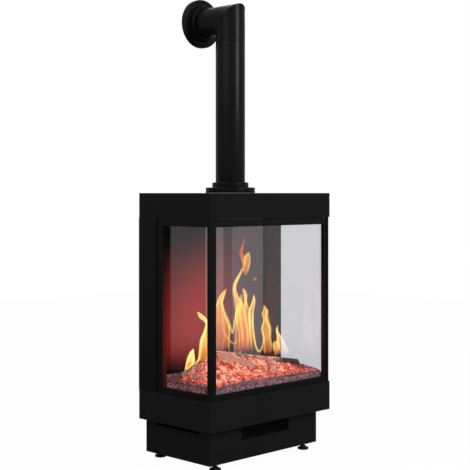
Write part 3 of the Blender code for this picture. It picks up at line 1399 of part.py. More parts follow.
def build():
    clear_scene()
    make_plinth()
    make_feet()
    make_outlet_grille()
    make_heater_duct()
    make_heater_drum()
    make_heater_motor()
    make_heater_element()
    make_control_box()
    make_mains_inlet()
    make_mains_rocker()
    make_base_plate()
    make_lower_casing()
    make_upper_casing()
    make_ceiling_panel()
    make_rear_columns()
    make_back_cover()
    make_back_cover_screws()
    make_back_panel()
    make_liners()
    make_side_frames()
    make_side_glasses()
    make_side_seals()
    make_door()
    make_bed_tray()
    bed = make_ember_bed()
    make_logs(bed)
    make_flame_unit()
    make_flue()


build()
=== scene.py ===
"""Looks of the three-sided electric fireplace: finishes, fire bed, logs, flames, flue and studio."""

from __future__ import annotations

import json
import logging
import math
import random
from collections.abc import Callable, Sequence
from dataclasses import dataclass, field, replace
from enum import Enum
from typing import Any

import bmesh
import bpy
from mathutils import Matrix, Vector, noise


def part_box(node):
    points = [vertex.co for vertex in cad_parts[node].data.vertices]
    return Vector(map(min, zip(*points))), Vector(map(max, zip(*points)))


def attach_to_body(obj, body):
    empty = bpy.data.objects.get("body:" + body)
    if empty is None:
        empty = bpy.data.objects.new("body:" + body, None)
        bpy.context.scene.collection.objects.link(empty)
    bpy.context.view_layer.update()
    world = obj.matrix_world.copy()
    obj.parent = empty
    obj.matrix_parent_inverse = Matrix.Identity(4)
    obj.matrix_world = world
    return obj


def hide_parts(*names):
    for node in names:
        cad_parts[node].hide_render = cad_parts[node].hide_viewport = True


log = logging.getLogger("fireplace")

Colour = tuple[float, float, float]
Place = tuple[float, float, float]
Profile = list[tuple[float, float]]
Stops = tuple[tuple[float, Colour], ...]
Socket = bpy.types.NodeSocket
Feed = Any
Looks = dict[str, Feed]
Mesh = bmesh.types.BMesh
Verts = list[bmesh.types.BMVert]

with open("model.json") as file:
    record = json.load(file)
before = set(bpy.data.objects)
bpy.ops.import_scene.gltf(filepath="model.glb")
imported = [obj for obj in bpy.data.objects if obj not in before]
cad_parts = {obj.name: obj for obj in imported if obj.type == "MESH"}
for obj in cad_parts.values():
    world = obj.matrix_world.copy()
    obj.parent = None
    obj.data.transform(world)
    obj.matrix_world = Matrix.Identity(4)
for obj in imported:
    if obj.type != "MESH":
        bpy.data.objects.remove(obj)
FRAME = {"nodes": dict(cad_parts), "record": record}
NONE: Colour = (0.0, 0.0, 0.0)
WHITE: Colour = (1.0, 1.0, 1.0)
FULL_TURN = 2 * math.pi
TINY = 1e-6


# Shading toolkit


class Effect(Enum):
    """Shader node groups that several materials share."""

    GRAIN = "fine_grain"
    DUST = "settled_dust"
    GLOW = "painted_light_mask"
    STREAKS = "drawn_streaks"
    CRUST = "cinder_crust"
    GRIT = "stone_grit"
    BARK = "charred_bark"


class NodeWriter:
    """Adds nodes to one tree and joins them."""

    def __init__(self, tree: bpy.types.NodeTree) -> None:
        """Starts writing in a material's or group's tree."""
        self.tree = tree

    def feed(self, socket: Socket, value: Feed) -> None:
        """Links a socket to another one, or gives it a plain value.

        Args:
            socket: the input to set.
            value: an output socket, a number or a colour.
        """
        if isinstance(value, Socket):
            self.tree.links.new(value, socket)
        else:
            socket.default_value = (*value, 1.0) if socket.type == "RGBA" else value

    def node(self, kind: str, inputs: dict[int | str, Feed] | None = None, **settings: Any) -> bpy.types.Node:
        """Adds a shader node.

        Args:
            kind: Blender's name of the node type, after ShaderNode.
            inputs: the inputs that are fed, by number or name.
            **settings: the node's own properties.

        Returns:
            The new node.
        """
        made = self.tree.nodes.new(f"ShaderNode{kind}")
        for name, value in settings.items():
            setattr(made, name, value)
        for name, value in (inputs or {}).items():
            self.feed(made.inputs[name], value)
        return made

    def maths(self, operation: str, first: Feed, second: Feed, clamp: bool = False) -> Socket:
        """Adds a Math node; a clamped result stays between 0 and 1."""
        return self.node("Math", {0: first, 1: second}, operation=operation, use_clamp=clamp).outputs[0]

    def plus(self, first: Feed, second: Feed, clamp: bool = False) -> Socket:
        """Adds two values."""
        return self.maths("ADD", first, second, clamp)

    def minus(self, first: Feed, second: Feed, clamp: bool = False) -> Socket:
        """Takes the second value from the first."""
        return self.maths("SUBTRACT", first, second, clamp)

    def times(self, first: Feed, second: Feed, clamp: bool = False) -> Socket:
        """Multiplies two values."""
        return self.maths("MULTIPLY", first, second, clamp)

    def vector(self, operation: str, first: Feed, second: Feed = NONE, output: int = 0) -> Socket:
        """Adds a Vector Math node, whose output 1 is a plain number."""
        return self.node("VectorMath", {0: first, 1: second}, operation=operation).outputs[output]

    def spread(self, value: Feed, low: Feed, high: Feed, to_low: float = 0.0, to_high: float = 1.0) -> Socket:
        """Maps the range from low to high smoothly onto the one from to_low to to_high."""
        inputs = dict(enumerate((value, low, high, to_low, to_high)))
        return self.node("MapRange", inputs, interpolation_type="SMOOTHSTEP").outputs[0]

    def cloud(self, place: Feed, scale: Feed, detail: float = 3.0, roughness: float = 0.55) -> Socket:
        """Adds noise round a half, with so many waves per metre."""
        inputs = {"Vector": place, "Scale": scale, "Detail": detail, "Roughness": roughness}
        return self.node("TexNoise", inputs).outputs[0]

    def cells(self, place: Feed, scale: Feed, feature: str = "F1") -> Any:
        """Adds so many cells per metre, and gives the pattern's outputs."""
        return self.node("TexVoronoi", {"Vector": place, "Scale": scale}, feature=feature).outputs

    def mix(self, share: Feed, first: Feed, second: Feed) -> Socket:
        """Mixes two colours; the share is the second one's."""
        return self.node("Mix", {0: share, 6: first, 7: second}, data_type="RGBA").outputs[2]

    def ramp(self, value: Feed, stops: Stops) -> Socket:
        """Turns a value into a colour.

        Args:
            value: the value.
            stops: places between 0 and 1 with their colours.

        Returns:
            The colour.
        """
        made = self.node("ValToRGB", {0: value})
        elements = made.color_ramp.elements
        while len(elements) < len(stops):
            elements.new(0.5)
        for element, (place, colour) in zip(elements, stops):
            element.position = place
            element.color = (*colour, 1.0)
        return made.outputs[0]

    def red(self, colour: Feed) -> Socket:
        """Gives the red part of a colour."""
        return self.node("SeparateColor", {0: colour}).outputs[0]

    def place(self) -> Socket:
        """Gives the object's own coordinates, in metres."""
        return self.node("TexCoord").outputs["Object"]

    def attribute(self, name: str) -> Socket:
        """Reads a value stored on the mesh."""
        return self.node("Attribute", attribute_name=name).outputs["Fac"]

    def normal(self) -> Socket:
        """Gives the way that a face looks."""
        return self.node("NewGeometry").outputs["Normal"]

    def upward(self) -> Socket:
        """Gives how far a face looks up, from -1 to 1."""
        return self.node("SeparateXYZ", {0: self.normal()}).outputs[2]

    def bump(self, height: Feed, depth: float, strength: float) -> Socket:
        """Turns a height from 0 to 1 into a normal; the depth is in metres."""
        return self.node("Bump", {"Strength": strength, "Distance": depth, "Height": height}).outputs[0]

    def effect(self, effect: Effect, **values: Feed) -> Any:
        """Places a shared node group with its inputs, and gives its outputs."""
        return self.node("Group", values, node_tree=EFFECTS.tree(effect)).outputs


class EffectLibrary:
    """Builds each shared node group once."""

    def __init__(self) -> None:
        """Lists each group's maker and inputs."""
        self.trees: dict[Effect, bpy.types.NodeTree] = {}
        self.recipes: dict[Effect, tuple[Callable[[NodeWriter, Any], Looks], Looks]] = {
            Effect.GRAIN: (self.grain, {"Scale": 900.0, "Amount": 0.3}),
            Effect.DUST: (self.dust, {"Scale": 40.0, "Amount": 0.3}),
            Effect.GLOW: (self.glow, {"Centre": NONE, "Reach": WHITE, "Facing": NONE, "Even": 0.0}),
            Effect.STREAKS: (self.streaks, {"Along": WHITE, "Scale": 300.0}),
            Effect.CRUST: (self.crust, {"Heat": 0.5, "Scale": 200.0}),
            Effect.GRIT: (self.grit, {"Scale": 220.0}),
            Effect.BARK: (self.bark, {"Around": 0.0, "Along": 0.0, "Seed": 0.0}),
        }

    def tree(self, effect: Effect) -> bpy.types.NodeTree:
        """Gives a group, and builds it when it is first asked for.

        Args:
            effect: which group.

        Returns:
            The group's node tree.
        """
        if effect not in self.trees:
            tree = self.trees[effect] = bpy.data.node_groups.new(effect.value, "ShaderNodeTree")
            maker, inputs = self.recipes[effect]
            for name, value in inputs.items():
                kind = "NodeSocketVector" if isinstance(value, tuple) else "NodeSocketFloat"
                tree.interface.new_socket(name=name, in_out="INPUT", socket_type=kind).default_value = value
            write = NodeWriter(tree)
            results = maker(write, tree.nodes.new("NodeGroupInput").outputs)
            for name in results:
                tree.interface.new_socket(name=name, in_out="OUTPUT", socket_type="NodeSocketFloat")
            sockets = tree.nodes.new("NodeGroupOutput").inputs
            for name, result in results.items():
                write.feed(sockets[name], result)
        return self.trees[effect]

    def grain(self, write: NodeWriter, given: Any) -> Looks:
        """Fine powder-coat grain over slow tone changes.

        Args:
            write: the group's writer.
            given: the group's inputs.

        Returns:
            The group's outputs.
        """
        fine = write.cloud(write.place(), given["Scale"], detail=2.0)
        slow = write.cloud(write.place(), write.times(given["Scale"], 0.012))
        both = write.plus(write.times(fine, 0.6), write.times(slow, 0.8))
        centred = write.minus(both, 0.7)
        return {"Tone": write.plus(write.times(centred, given["Amount"]), 0.5, clamp=True), "Height": fine}

    def dust(self, write: NodeWriter, given: Any) -> Looks:
        """Thin dust that lies on faces that look up.

        Args:
            write: the group's writer.
            given: the group's inputs.

        Returns:
            The group's outputs.
        """
        lying = write.spread(write.upward(), 0.55, 1.0)
        patches = write.spread(write.cloud(write.place(), given["Scale"], detail=4.0), 0.35, 0.75)
        return {"Mask": write.times(write.times(lying, patches), given["Amount"])}

    def glow(self, write: NodeWriter, given: Any) -> Looks:
        """Mask of a round patch of painted light or shade, on the faces that look one way if a direction is
        given.

        Args:
            write: the group's writer.
            given: the group's inputs.

        Returns:
            The group's outputs.
        """
        offset = write.vector("SUBTRACT", write.place(), given["Centre"])
        away = write.vector("LENGTH", write.vector("DIVIDE", offset, given["Reach"]), output=1)
        turned_to = write.vector("DOT_PRODUCT", write.normal(), given["Facing"], output=1)
        all_round = write.minus(1.0, write.vector("LENGTH", given["Facing"], output=1), clamp=True)
        side = write.plus(write.maths("MAXIMUM", turned_to, 0.0), all_round, clamp=True)
        return {"Mask": write.times(write.spread(away, 1.0, given["Even"]), side)}

    def streaks(self, write: NodeWriter, given: Any) -> Looks:
        """Lines that drawing or turning leaves in metal."""
        drawn = write.vector("MULTIPLY", write.place(), given["Along"])
        return {"Tone": write.cloud(drawn, given["Scale"], roughness=0.6)}

    def crust(self, write: NodeWriter, given: Any) -> Looks:
        """Glow that breaks through a crust of ash.

        Args:
            write: the group's writer.
            given: the group's inputs.

        Returns:
            The group's outputs.
        """
        place = write.place()
        broken = write.cloud(place, given["Scale"], detail=4.0, roughness=0.65)
        veins = write.cells(place, write.times(given["Scale"], 0.6), "DISTANCE_TO_EDGE")["Distance"]
        cleft = write.spread(veins, 0.16, 0.0)
        uneven = write.plus(given["Heat"], write.times(write.minus(broken, 0.5), 0.75))
        heat = write.plus(uneven, write.times(cleft, 0.22), clamp=True)
        lying = write.spread(write.upward(), 0.1, 0.9)
        ash = write.times(lying, write.spread(broken, 0.40, 0.62), clamp=True)
        return {"Glow": heat, "Ash": ash, "Height": write.minus(broken, write.times(cleft, 0.5))}

    def grit(self, write: NodeWriter, given: Any) -> Looks:
        """Small stones lying close together, with painted shade in the gaps between them.

        Args:
            write: the group's writer.
            given: the group's inputs.

        Returns:
            The group's outputs.
        """
        place = write.place()
        cells = write.cells(place, given["Scale"])
        fine = write.cloud(place, write.times(given["Scale"], 3.0))
        # Painted shade: each stone darkens towards the gaps between the stones.
        shade = write.minus(1.0, write.times(cells["Distance"], 0.9), clamp=True)
        tone = write.times(write.plus(write.red(cells["Color"]), fine), write.times(shade, 0.5))
        return {"Tone": tone, "Height": shade}

    def bark(self, write: NodeWriter, given: Any) -> Looks:
        """Plates and furrows that run along a log.

        Args:
            write: the group's writer.
            given: the group's inputs.

        Returns:
            The group's outputs.
        """
        ways = {index: given[name] for index, name in enumerate(("Around", "Along", "Seed"))}
        place = write.vector("MULTIPLY", write.node("CombineXYZ", ways).outputs[0], (7.0, 26.0, 1.0))
        warp = write.cloud(place, 1.3)
        edges = write.cells(write.vector("ADD", place, warp), 1.0, "DISTANCE_TO_EDGE")["Distance"]
        crack = write.spread(edges, 0.13, 0.01)
        fine = write.cloud(write.vector("MULTIPLY", place, (3.0, 0.7, 1.0)), 3.0, detail=4.0, roughness=0.7)
        return {"Crack": crack, "Plate": fine, "Height": write.minus(fine, crack)}


EFFECTS = EffectLibrary()


def toned(colour: Colour, factor: float) -> Colour:
    """Makes a colour darker or lighter."""
    return tuple(min(1.0, part * factor) for part in colour)


# Finishes


@dataclass(frozen=True)
class Finish:
    """Base of every finish: a Principled material with its own nodes."""

    roughness: float = 0.5
    metallic: float = 0.0
    specular: float = 0.5

    def make(self, name: str) -> bpy.types.Material:
        """Builds the material.

        Args:
            name: the material's name.

        Returns:
            The finished material.
        """
        material = bpy.data.materials.new(name)
        material.use_nodes = True
        write = NodeWriter(material.node_tree)
        shader = material.node_tree.nodes["Principled BSDF"]
        plain = {"Roughness": self.roughness, "Metallic": self.metallic, "Specular IOR Level": self.specular}
        for socket, value in (plain | self.looks(write)).items():
            write.feed(shader.inputs[socket], value)
        return material

    def looks(self, write: NodeWriter) -> Looks:
        """Adds this finish's nodes; each finish has its own.

        Args:
            write: the material's writer.

        Returns:
            What the Principled node's sockets get.
        """
        raise NotImplementedError

    def rough(self, write: NodeWriter, tone: Socket, swing: float) -> Socket:
        """Lets the gloss change a little over the surface, by the swing to each side."""
        return write.plus(write.times(tone, 2 * swing), self.roughness - swing, clamp=True)


@dataclass(frozen=True)
class PaintedLightPatch:
    """Patch of painted light on a surface: firelight or a reflection painted as glow, or painted shade that
    takes glow away.
    """

    centre: Place
    reach: Place
    colour: Colour
    facing: Place = NONE
    even: float = 0.0
    shade: bool = False


@dataclass(frozen=True)
class Paint(Finish):
    """Powder coat or paint with fine grain, dust and, where they are given, patches of painted light and
    shade.
    """

    colour: Colour = (0.0046, 0.0046, 0.0047)
    darkest: float = 0.7
    lightest: float = 1.35
    grain: float = 900.0
    depth: float = 0.00006
    dust: float = 0.02
    dust_scale: float = 30.0
    dust_colour: Colour = (0.10, 0.095, 0.09)
    lights: tuple[PaintedLightPatch, ...] = ()

    def looks(self, write: NodeWriter) -> Looks:
        """Adds grain, dust and the patches of painted light and shade.

        Args:
            write: the material's writer.

        Returns:
            What the Principled node's sockets get.
        """
        grain = write.effect(Effect.GRAIN, Scale=self.grain, Amount=0.9)
        dust = write.effect(Effect.DUST, Scale=self.dust_scale, Amount=self.dust)["Mask"]
        dark, light = toned(self.colour, self.darkest), toned(self.colour, self.lightest)
        looks = {
            "Base Color": write.mix(dust, write.mix(grain["Tone"], dark, light), self.dust_colour),
            "Roughness": self.rough(write, grain["Tone"], 0.06),
            "Normal": write.bump(grain["Height"], self.depth, 0.5),
        }
        # Painted light and shade: each patch adds painted firelight or reflection as glow, or takes painted
        # shade away.
        total: Feed = NONE
        for patch in self.lights:
            asked = {"Centre": patch.centre, "Reach": patch.reach, "Facing": patch.facing, "Even": patch.even}
            part = write.mix(write.effect(Effect.GLOW, **asked)["Mask"], NONE, patch.colour)
            total = write.vector("SUBTRACT" if patch.shade else "ADD", total, part)
        if self.lights:
            looks |= {"Emission Color": write.vector("MAXIMUM", total), "Emission Strength": 1.0}
        return looks


@dataclass(frozen=True)
class Metal(Finish):
    """Bare or plated metal with drawing lines and, for zinc, spangle."""

    metallic: float = 1.0
    colour: Colour = (0.55, 0.56, 0.58)
    darkest: float = 0.72
    along: Place = (1.0, 1.0, 0.05)
    lines: float = 420.0
    depth: float = 0.00002
    spangle: float = 0.0
    spangle_share: float = 0.7

    def looks(self, write: NodeWriter) -> Looks:
        """Adds lines and spangle.

        Args:
            write: the material's writer.

        Returns:
            What the Principled node's sockets get.
        """
        tone = lines = write.effect(Effect.STREAKS, Along=self.along, Scale=self.lines)["Tone"]
        if self.spangle:
            spangle = write.red(write.cells(write.place(), self.spangle)["Color"])
            faint = write.times(lines, 1 - self.spangle_share)
            tone = write.plus(faint, write.times(spangle, self.spangle_share))
        return {
            "Base Color": write.mix(tone, toned(self.colour, self.darkest), self.colour),
            "Roughness": self.rough(write, tone, 0.10),
            "Normal": write.bump(lines, self.depth, 0.4),
        }


@dataclass(frozen=True)
class Plastic(Finish):
    """Moulded plastic with a fine eroded texture."""

    colour: Colour = (0.02, 0.02, 0.021)
    darkest: float = 0.85
    lightest: float = 1.15
    grain: float = 1500.0
    depth: float = 0.00004
    clear: float = 0.0

    def looks(self, write: NodeWriter) -> Looks:
        """Adds the moulded texture.

        Args:
            write: the material's writer.

        Returns:
            What the Principled node's sockets get.
        """
        grain = write.effect(Effect.GRAIN, Scale=self.grain, Amount=0.6)
        dark, light = toned(self.colour, self.darkest), toned(self.colour, self.lightest)
        return {
            "Base Color": write.mix(grain["Tone"], dark, light),
            "Roughness": self.rough(write, grain["Tone"], 0.05),
            "Normal": write.bump(grain["Height"], self.depth, 0.4),
            "Transmission Weight": self.clear,
        }


@dataclass(frozen=True)
class Lens(Finish):
    """Amber lens of a lamp that is lit."""

    colour: Colour = (1.0, 0.30, 0.05)
    rim: float = 0.6
    facets: float = 900.0
    strength: float = 2.0

    def looks(self, write: NodeWriter) -> Looks:
        """Adds a lit core with a fainter rim.

        Args:
            write: the material's writer.

        Returns:
            What the Principled node's sockets get.
        """
        facets = write.cells(write.place(), self.facets)["Distance"]
        colour = write.mix(facets, self.colour, toned(self.colour, self.rim))
        return {"Base Color": colour, "Emission Color": colour, "Emission Strength": self.strength}


@dataclass(frozen=True)
class Glass(Finish):
    """Toughened pane that takes some of the light away."""

    roughness: float = 0.0
    tint: Colour = (0.77, 0.77, 0.785)
    deepest: float = 0.985
    clouds: float = 6.0
    refraction: float = 1.5
    haze: float = 0.0

    def looks(self, write: NodeWriter) -> Looks:
        """Adds a faint haze and an uneven tint.

        Args:
            write: the material's writer.

        Returns:
            What the Principled node's sockets get.
        """
        cloudy = write.cloud(write.place(), self.clouds, detail=2.0)
        return {
            "Base Color": write.mix(cloudy, self.tint, toned(self.tint, self.deepest)),
            "IOR": self.refraction,
            "Transmission Weight": 1.0 - self.haze,
        }

    def make(self, name: str) -> bpy.types.Material:
        """Builds the material, and lets lamps shine through it.

        Args:
            name: the material's name.

        Returns:
            The finished material.
        """
        material = super().make(name)
        write = NodeWriter(material.node_tree)
        nodes = material.node_tree.nodes
        shadow = write.node("LightPath").outputs["Is Shadow Ray"]
        through = write.node("BsdfTransparent", {"Color": self.tint}).outputs[0]
        mixed = write.node("MixShader", {0: shadow, 1: nodes["Principled BSDF"].outputs[0], 2: through})
        write.feed(nodes["Material Output"].inputs["Surface"], mixed.outputs[0])
        return material


@dataclass(frozen=True)
class Gasket(Finish):
    """Woven fibre cord pressed round a pane."""

    roughness: float = 0.9
    specular: float = 0.1
    colour: Colour = (0.012, 0.012, 0.012)
    lightest: float = 2.2
    plaits: float = 120.0
    distortion: float = 2.0
    depth: float = 0.0003

    def looks(self, write: NodeWriter) -> Looks:
        """Adds the plaited pattern.

        Args:
            write: the material's writer.

        Returns:
            What the Principled node's sockets get.
        """
        asked = {"Vector": write.place(), "Scale": self.plaits, "Distortion": self.distortion}
        wave = write.node("TexWave", asked, wave_type="BANDS", bands_direction="DIAGONAL").outputs["Fac"]
        return {
            "Base Color": write.mix(wave, self.colour, toned(self.colour, self.lightest)),
            "Roughness": self.rough(write, wave, 0.05),
            "Normal": write.bump(wave, self.depth, 0.6),
        }


@dataclass(frozen=True)
class Stones(Finish):
    """Loose grey stones, or the grit that coats the tray."""

    roughness: float = 0.85
    specular: float = 0.25
    dark: Colour = (0.012, 0.012, 0.013)
    light: Colour = (0.17, 0.165, 0.17)
    lightest_tone: float = 0.62
    scale: float = 230.0
    depth: float = 0.0012
    # Colour of the ember light painted on the stones as glow.
    glow: Colour = NONE
    evenly: float = 0.0

    def looks(self, write: NodeWriter) -> Looks:
        """Adds stones of many tones with painted shade in their gaps, and painted ember light as glow where
        it is given.

        Args:
            write: the material's writer.

        Returns:
            What the Principled node's sockets get.
        """
        grit = write.effect(Effect.GRIT, Scale=self.scale)
        tone = write.spread(grit["Tone"], 0.0, self.lightest_tone)
        looks = {
            "Base Color": write.mix(tone, self.dark, self.light),
            "Roughness": self.rough(write, tone, 0.08),
            "Normal": write.bump(grit["Height"], self.depth, 0.7),
        }
        # Painted ember light: glow by the mesh's warmth plus the even share, brighter on lighter stones.
        if any(self.glow):
            lit = write.times(write.plus(write.attribute("warmth"), self.evenly), tone)
            looks |= {"Emission Color": write.mix(lit, NONE, self.glow), "Emission Strength": 1.0}
        return looks


@dataclass(frozen=True)
class Embers(Finish):
    """Glowing lumps under a thin crust of ash."""

    roughness: float = 0.9
    specular: float = 0.2
    char: Colour = (0.030, 0.014, 0.012)
    ash: Colour = (0.28, 0.18, 0.165)
    scale: float = 105.0
    depth: float = 0.0012
    stops: Stops = (
        (0.00, (0.012, 0.002, 0.002)),
        (0.25, (0.16, 0.012, 0.008)),
        (0.45, (0.66, 0.022, 0.016)),
        (0.66, (0.96, 0.080, 0.046)),
        (0.84, (1.12, 0.30, 0.14)),
        (1.00, (1.20, 0.62, 0.34)),
    )

    def looks(self, write: NodeWriter) -> Looks:
        """Adds char, ash and heat.

        Args:
            write: the material's writer.

        Returns:
            What the Principled node's sockets get.
        """
        crust = write.effect(Effect.CRUST, Heat=write.attribute("warmth"), Scale=self.scale)
        return {
            "Base Color": write.mix(crust["Ash"], self.char, self.ash),
            "Roughness": self.rough(write, crust["Ash"], 0.05),
            "Normal": write.bump(crust["Height"], self.depth, 0.8),
            "Emission Color": write.ramp(crust["Glow"], self.stops),
            "Emission Strength": 1.0,
        }


@dataclass(frozen=True)
class Bark(Finish):
    """Charred bark with ash on top and fire in the furrows."""

    roughness: float = 0.9
    specular: float = 0.15
    char: Colour = (0.035, 0.022, 0.019)
    ash: Colour = (0.55, 0.40, 0.35)
    wood: Colour = (0.34, 0.25, 0.20)
    soot: Colour = (0.006, 0.004, 0.004)
    cut_glow: Colour = (0.50, 0.15, 0.075)
    depth: float = 0.0016
    patches: float = 38.0
    seed: float = 0.0
    stops: Stops = (
        (0.00, (0.020, 0.006, 0.005)),
        (0.25, (0.16, 0.040, 0.030)),
        (0.50, (0.52, 0.140, 0.100)),
        (0.72, (0.90, 0.210, 0.130)),
        (1.00, (1.15, 0.50, 0.28)),
    )

    def looks(self, write: NodeWriter) -> Looks:
        """Adds furrows, ash and glow.

        Args:
            write: the material's writer.

        Returns:
            What the Principled node's sockets get.
        """
        around, along = write.attribute("around"), write.attribute("along")
        bark = write.effect(Effect.BARK, Around=around, Along=along, Seed=self.seed)
        cut = write.attribute("cut")
        surface = write.mix(self.ash_cover(write, bark["Plate"]), self.char, self.ash)
        wood = write.mix(bark["Plate"], toned(self.wood, 0.55), self.wood)
        grained = write.mix(bark["Plate"], toned(self.cut_glow, 0.72), toned(self.cut_glow, 1.2))
        burning = write.ramp(self.heat(write, bark, cut), self.stops)
        return {
            "Base Color": write.mix(bark["Crack"], write.mix(cut, surface, wood), self.soot),
            "Roughness": self.rough(write, bark["Plate"], 0.05),
            "Normal": write.bump(bark["Height"], self.depth, 0.9),
            "Emission Color": write.mix(write.spread(cut, 0.35, 0.95), burning, grained),
            "Emission Strength": 1.0,
        }

    def ash_cover(self, write: NodeWriter, plate: Socket) -> Socket:
        """Lets ash lie on the raised plates that look up, less of it where the log is cool."""
        ash = write.times(write.spread(plate, 0.35, 0.62), write.spread(write.upward(), -0.3, 0.7))
        return write.times(ash, write.spread(write.attribute("warmth"), 0.16, 0.50, 0.15, 1.0))

    def heat(self, write: NodeWriter, bark: Any, cut: Socket) -> Socket:
        """Works out the heat in the furrows, in patches, and along the rim of a cut.

        Args:
            write: the material's writer.
            bark: the bark group's outputs.
            cut: 1 where the wood is bare.

        Returns:
            The heat, from 0 to 1.
        """
        calm = write.minus(1.0, write.times(cut, 0.85))
        patch = write.cloud(write.place(), self.patches)
        uneven = write.times(write.minus(patch, 0.5), calm)
        warm = write.plus(write.attribute("warmth"), write.times(uneven, 1.1))
        opened = write.plus(write.times(uneven, 3.2), -0.18)
        warm = write.plus(warm, write.times(bark["Crack"], opened))
        warm = write.minus(warm, write.times(bark["Plate"], 0.22))
        rim = write.times(write.times(cut, write.minus(1.0, cut)), 2.6)
        return write.plus(write.minus(warm, write.times(cut, 0.12)), rim, clamp=True)


@dataclass(frozen=True)
class FlameLight(Finish):
    """Thin burning mist: it adds light and hides almost nothing."""

    roughness: float = 1.0
    specular: float = 0.0
    cover: float = 0.33
    most_cover: float = 0.95
    strength: float = 3.1
    streaks: Place = (90.0, 90.0, 14.0)
    streak_heat: float = 0.35
    # Pale tint at the right: painted light of the bright surroundings seen through the flames.
    pale: Colour = (0.62, 0.54, 0.52)
    pale_share: float = 0.8
    pale_reach: tuple[float, float] = (0.236, 0.262)
    stops: Stops = (
        (0.00, (0.62, 0.050, 0.050)),
        (0.25, (0.80, 0.150, 0.045)),
        (0.50, (0.90, 0.330, 0.040)),
        (0.75, (1.00, 0.560, 0.080)),
        (1.00, (1.00, 0.740, 0.230)),
    )

    def looks(self, write: NodeWriter) -> Looks:
        """Adds the colours of heat, broken by upward streaks, and a pale tint at the right that paints in the
        bright surroundings seen through the flames there.

        Args:
            write: the material's writer.

        Returns:
            What the Principled node's sockets get.
        """
        streaks = write.cloud(write.vector("MULTIPLY", write.place(), self.streaks), 1.0)
        swing = write.times(write.minus(streaks, 0.5), self.streak_heat)
        heat = write.plus(write.attribute("warmth"), swing, clamp=True)
        # Painted light: the flames turn pale at the right, where the bright surroundings show through.
        across = write.node("SeparateXYZ", {0: write.place()}).outputs[0]
        pale = write.times(write.spread(across, *self.pale_reach), self.pale_share)
        broken = write.times(write.spread(streaks, 0.15, 0.75, 0.72, 1.15), self.cover)
        return {
            "Base Color": NONE,
            "Emission Color": write.mix(pale, write.ramp(heat, self.stops), self.pale),
            "Emission Strength": self.strength,
            "Alpha": write.maths("MINIMUM", write.times(write.attribute("cover"), broken), self.most_cover),
        }


# Mesh toolkit


class Body(Enum):
    """Bodies of the frame that new pieces ride on, besides the feet."""

    CASING = "casing"
    PLUNGER = "catch_plunger"


def attach(piece: bpy.types.Object, body: str, slot: str, *nodes: str) -> None:
    """Hangs a piece on a body, and lets it stand for CAD nodes.

    Args:
        piece: the new piece.
        body: the body that it rides on.
        slot: the record's material slot; not used.
        *nodes: CAD nodes that it replaces.
    """
    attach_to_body(piece, body)
    if nodes:
        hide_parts(*nodes)
    log.info("piece %s on %s", piece.name, body)


def shown(name: str, data: Any, place: Feed = NONE) -> bpy.types.Object:
    """Adds an object to the scene.

    Args:
        name: its name.
        data: its mesh, lamp or camera.
        place: where it stands.

    Returns:
        The object.
    """
    made = bpy.data.objects.new(name, data)
    made.location = place
    bpy.context.scene.collection.objects.link(made)
    return made


def mesh_piece(name: str, bm: Mesh, material: bpy.types.Material, angle: float = 35.0) -> bpy.types.Object:
    """Turns a mesh under construction into an object with smooth faces and crisp edges.

    Args:
        name: the piece's name.
        bm: the mesh, which is freed.
        material: its finish.
        angle: degrees above which an edge stays crisp.

    Returns:
        The new object.
    """
    bmesh.ops.recalc_face_normals(bm, faces=bm.faces)
    data = bpy.data.meshes.new(name)
    bm.to_mesh(data)
    bm.free()
    data.materials.append(material)
    data.shade_smooth()
    data.set_sharp_from_angle(angle=math.radians(angle))
    return shown(name, data)


def number_layers(bm: Mesh, *names: str) -> dict[str, Any]:
    """Lets each vertex of a mesh hold a number under each name."""
    return {name: bm.verts.layers.float.new(name) for name in names}


def marked(bm: Mesh, place: Feed, layers: dict[str, Any], **numbers: float) -> bmesh.types.BMVert:
    """Adds a vertex that holds numbers.

    Args:
        bm: the mesh.
        place: where the vertex lies.
        layers: the mesh's number layers.
        **numbers: its number in each layer.

    Returns:
        The vertex.
    """
    vert = bm.verts.new(place)
    for name, number in numbers.items():
        vert[layers[name]] = number
    return vert


def skin(bm: Mesh, rings: Sequence[Verts], closed: bool = True) -> None:
    """Joins each ring of vertices to the next one by faces.

    Args:
        bm: the mesh.
        rings: the rings, all of one length.
        closed: whether a ring's last vertex is joined to its first.
    """
    for ring, following in zip(rings, rings[1:]):
        for step in range(len(ring) if closed else len(ring) - 1):
            other = (step + 1) % len(ring)
            corners = dict.fromkeys((ring[step], ring[other], following[other], following[step]))
            if len(corners) > 2:
                bm.faces.new(tuple(corners))


def directions(steps: int) -> Profile:
    """Gives the cosine and sine of equal steps round an axis."""
    return [(math.cos(FULL_TURN * step / steps), math.sin(FULL_TURN * step / steps)) for step in range(steps)]


def turned(profile: Profile, steps: int, turn: Matrix) -> Mesh:
    """Turns a closed profile round an axis.

    Args:
        profile: radius and height of each point.
        steps: segments round the axis.
        turn: carries the +Z axis to its place.

    Returns:
        The turned mesh.
    """
    bm = bmesh.new()
    rings = []
    for radius, height in profile:
        if radius < TINY:
            rings.append([bm.verts.new((0.0, 0.0, height))] * steps)
        else:
            rings.append([bm.verts.new((radius * x, radius * y, height)) for x, y in directions(steps)])
    skin(bm, rings + rings[:1])
    bmesh.ops.transform(bm, matrix=turn, verts=bm.verts)
    return bm


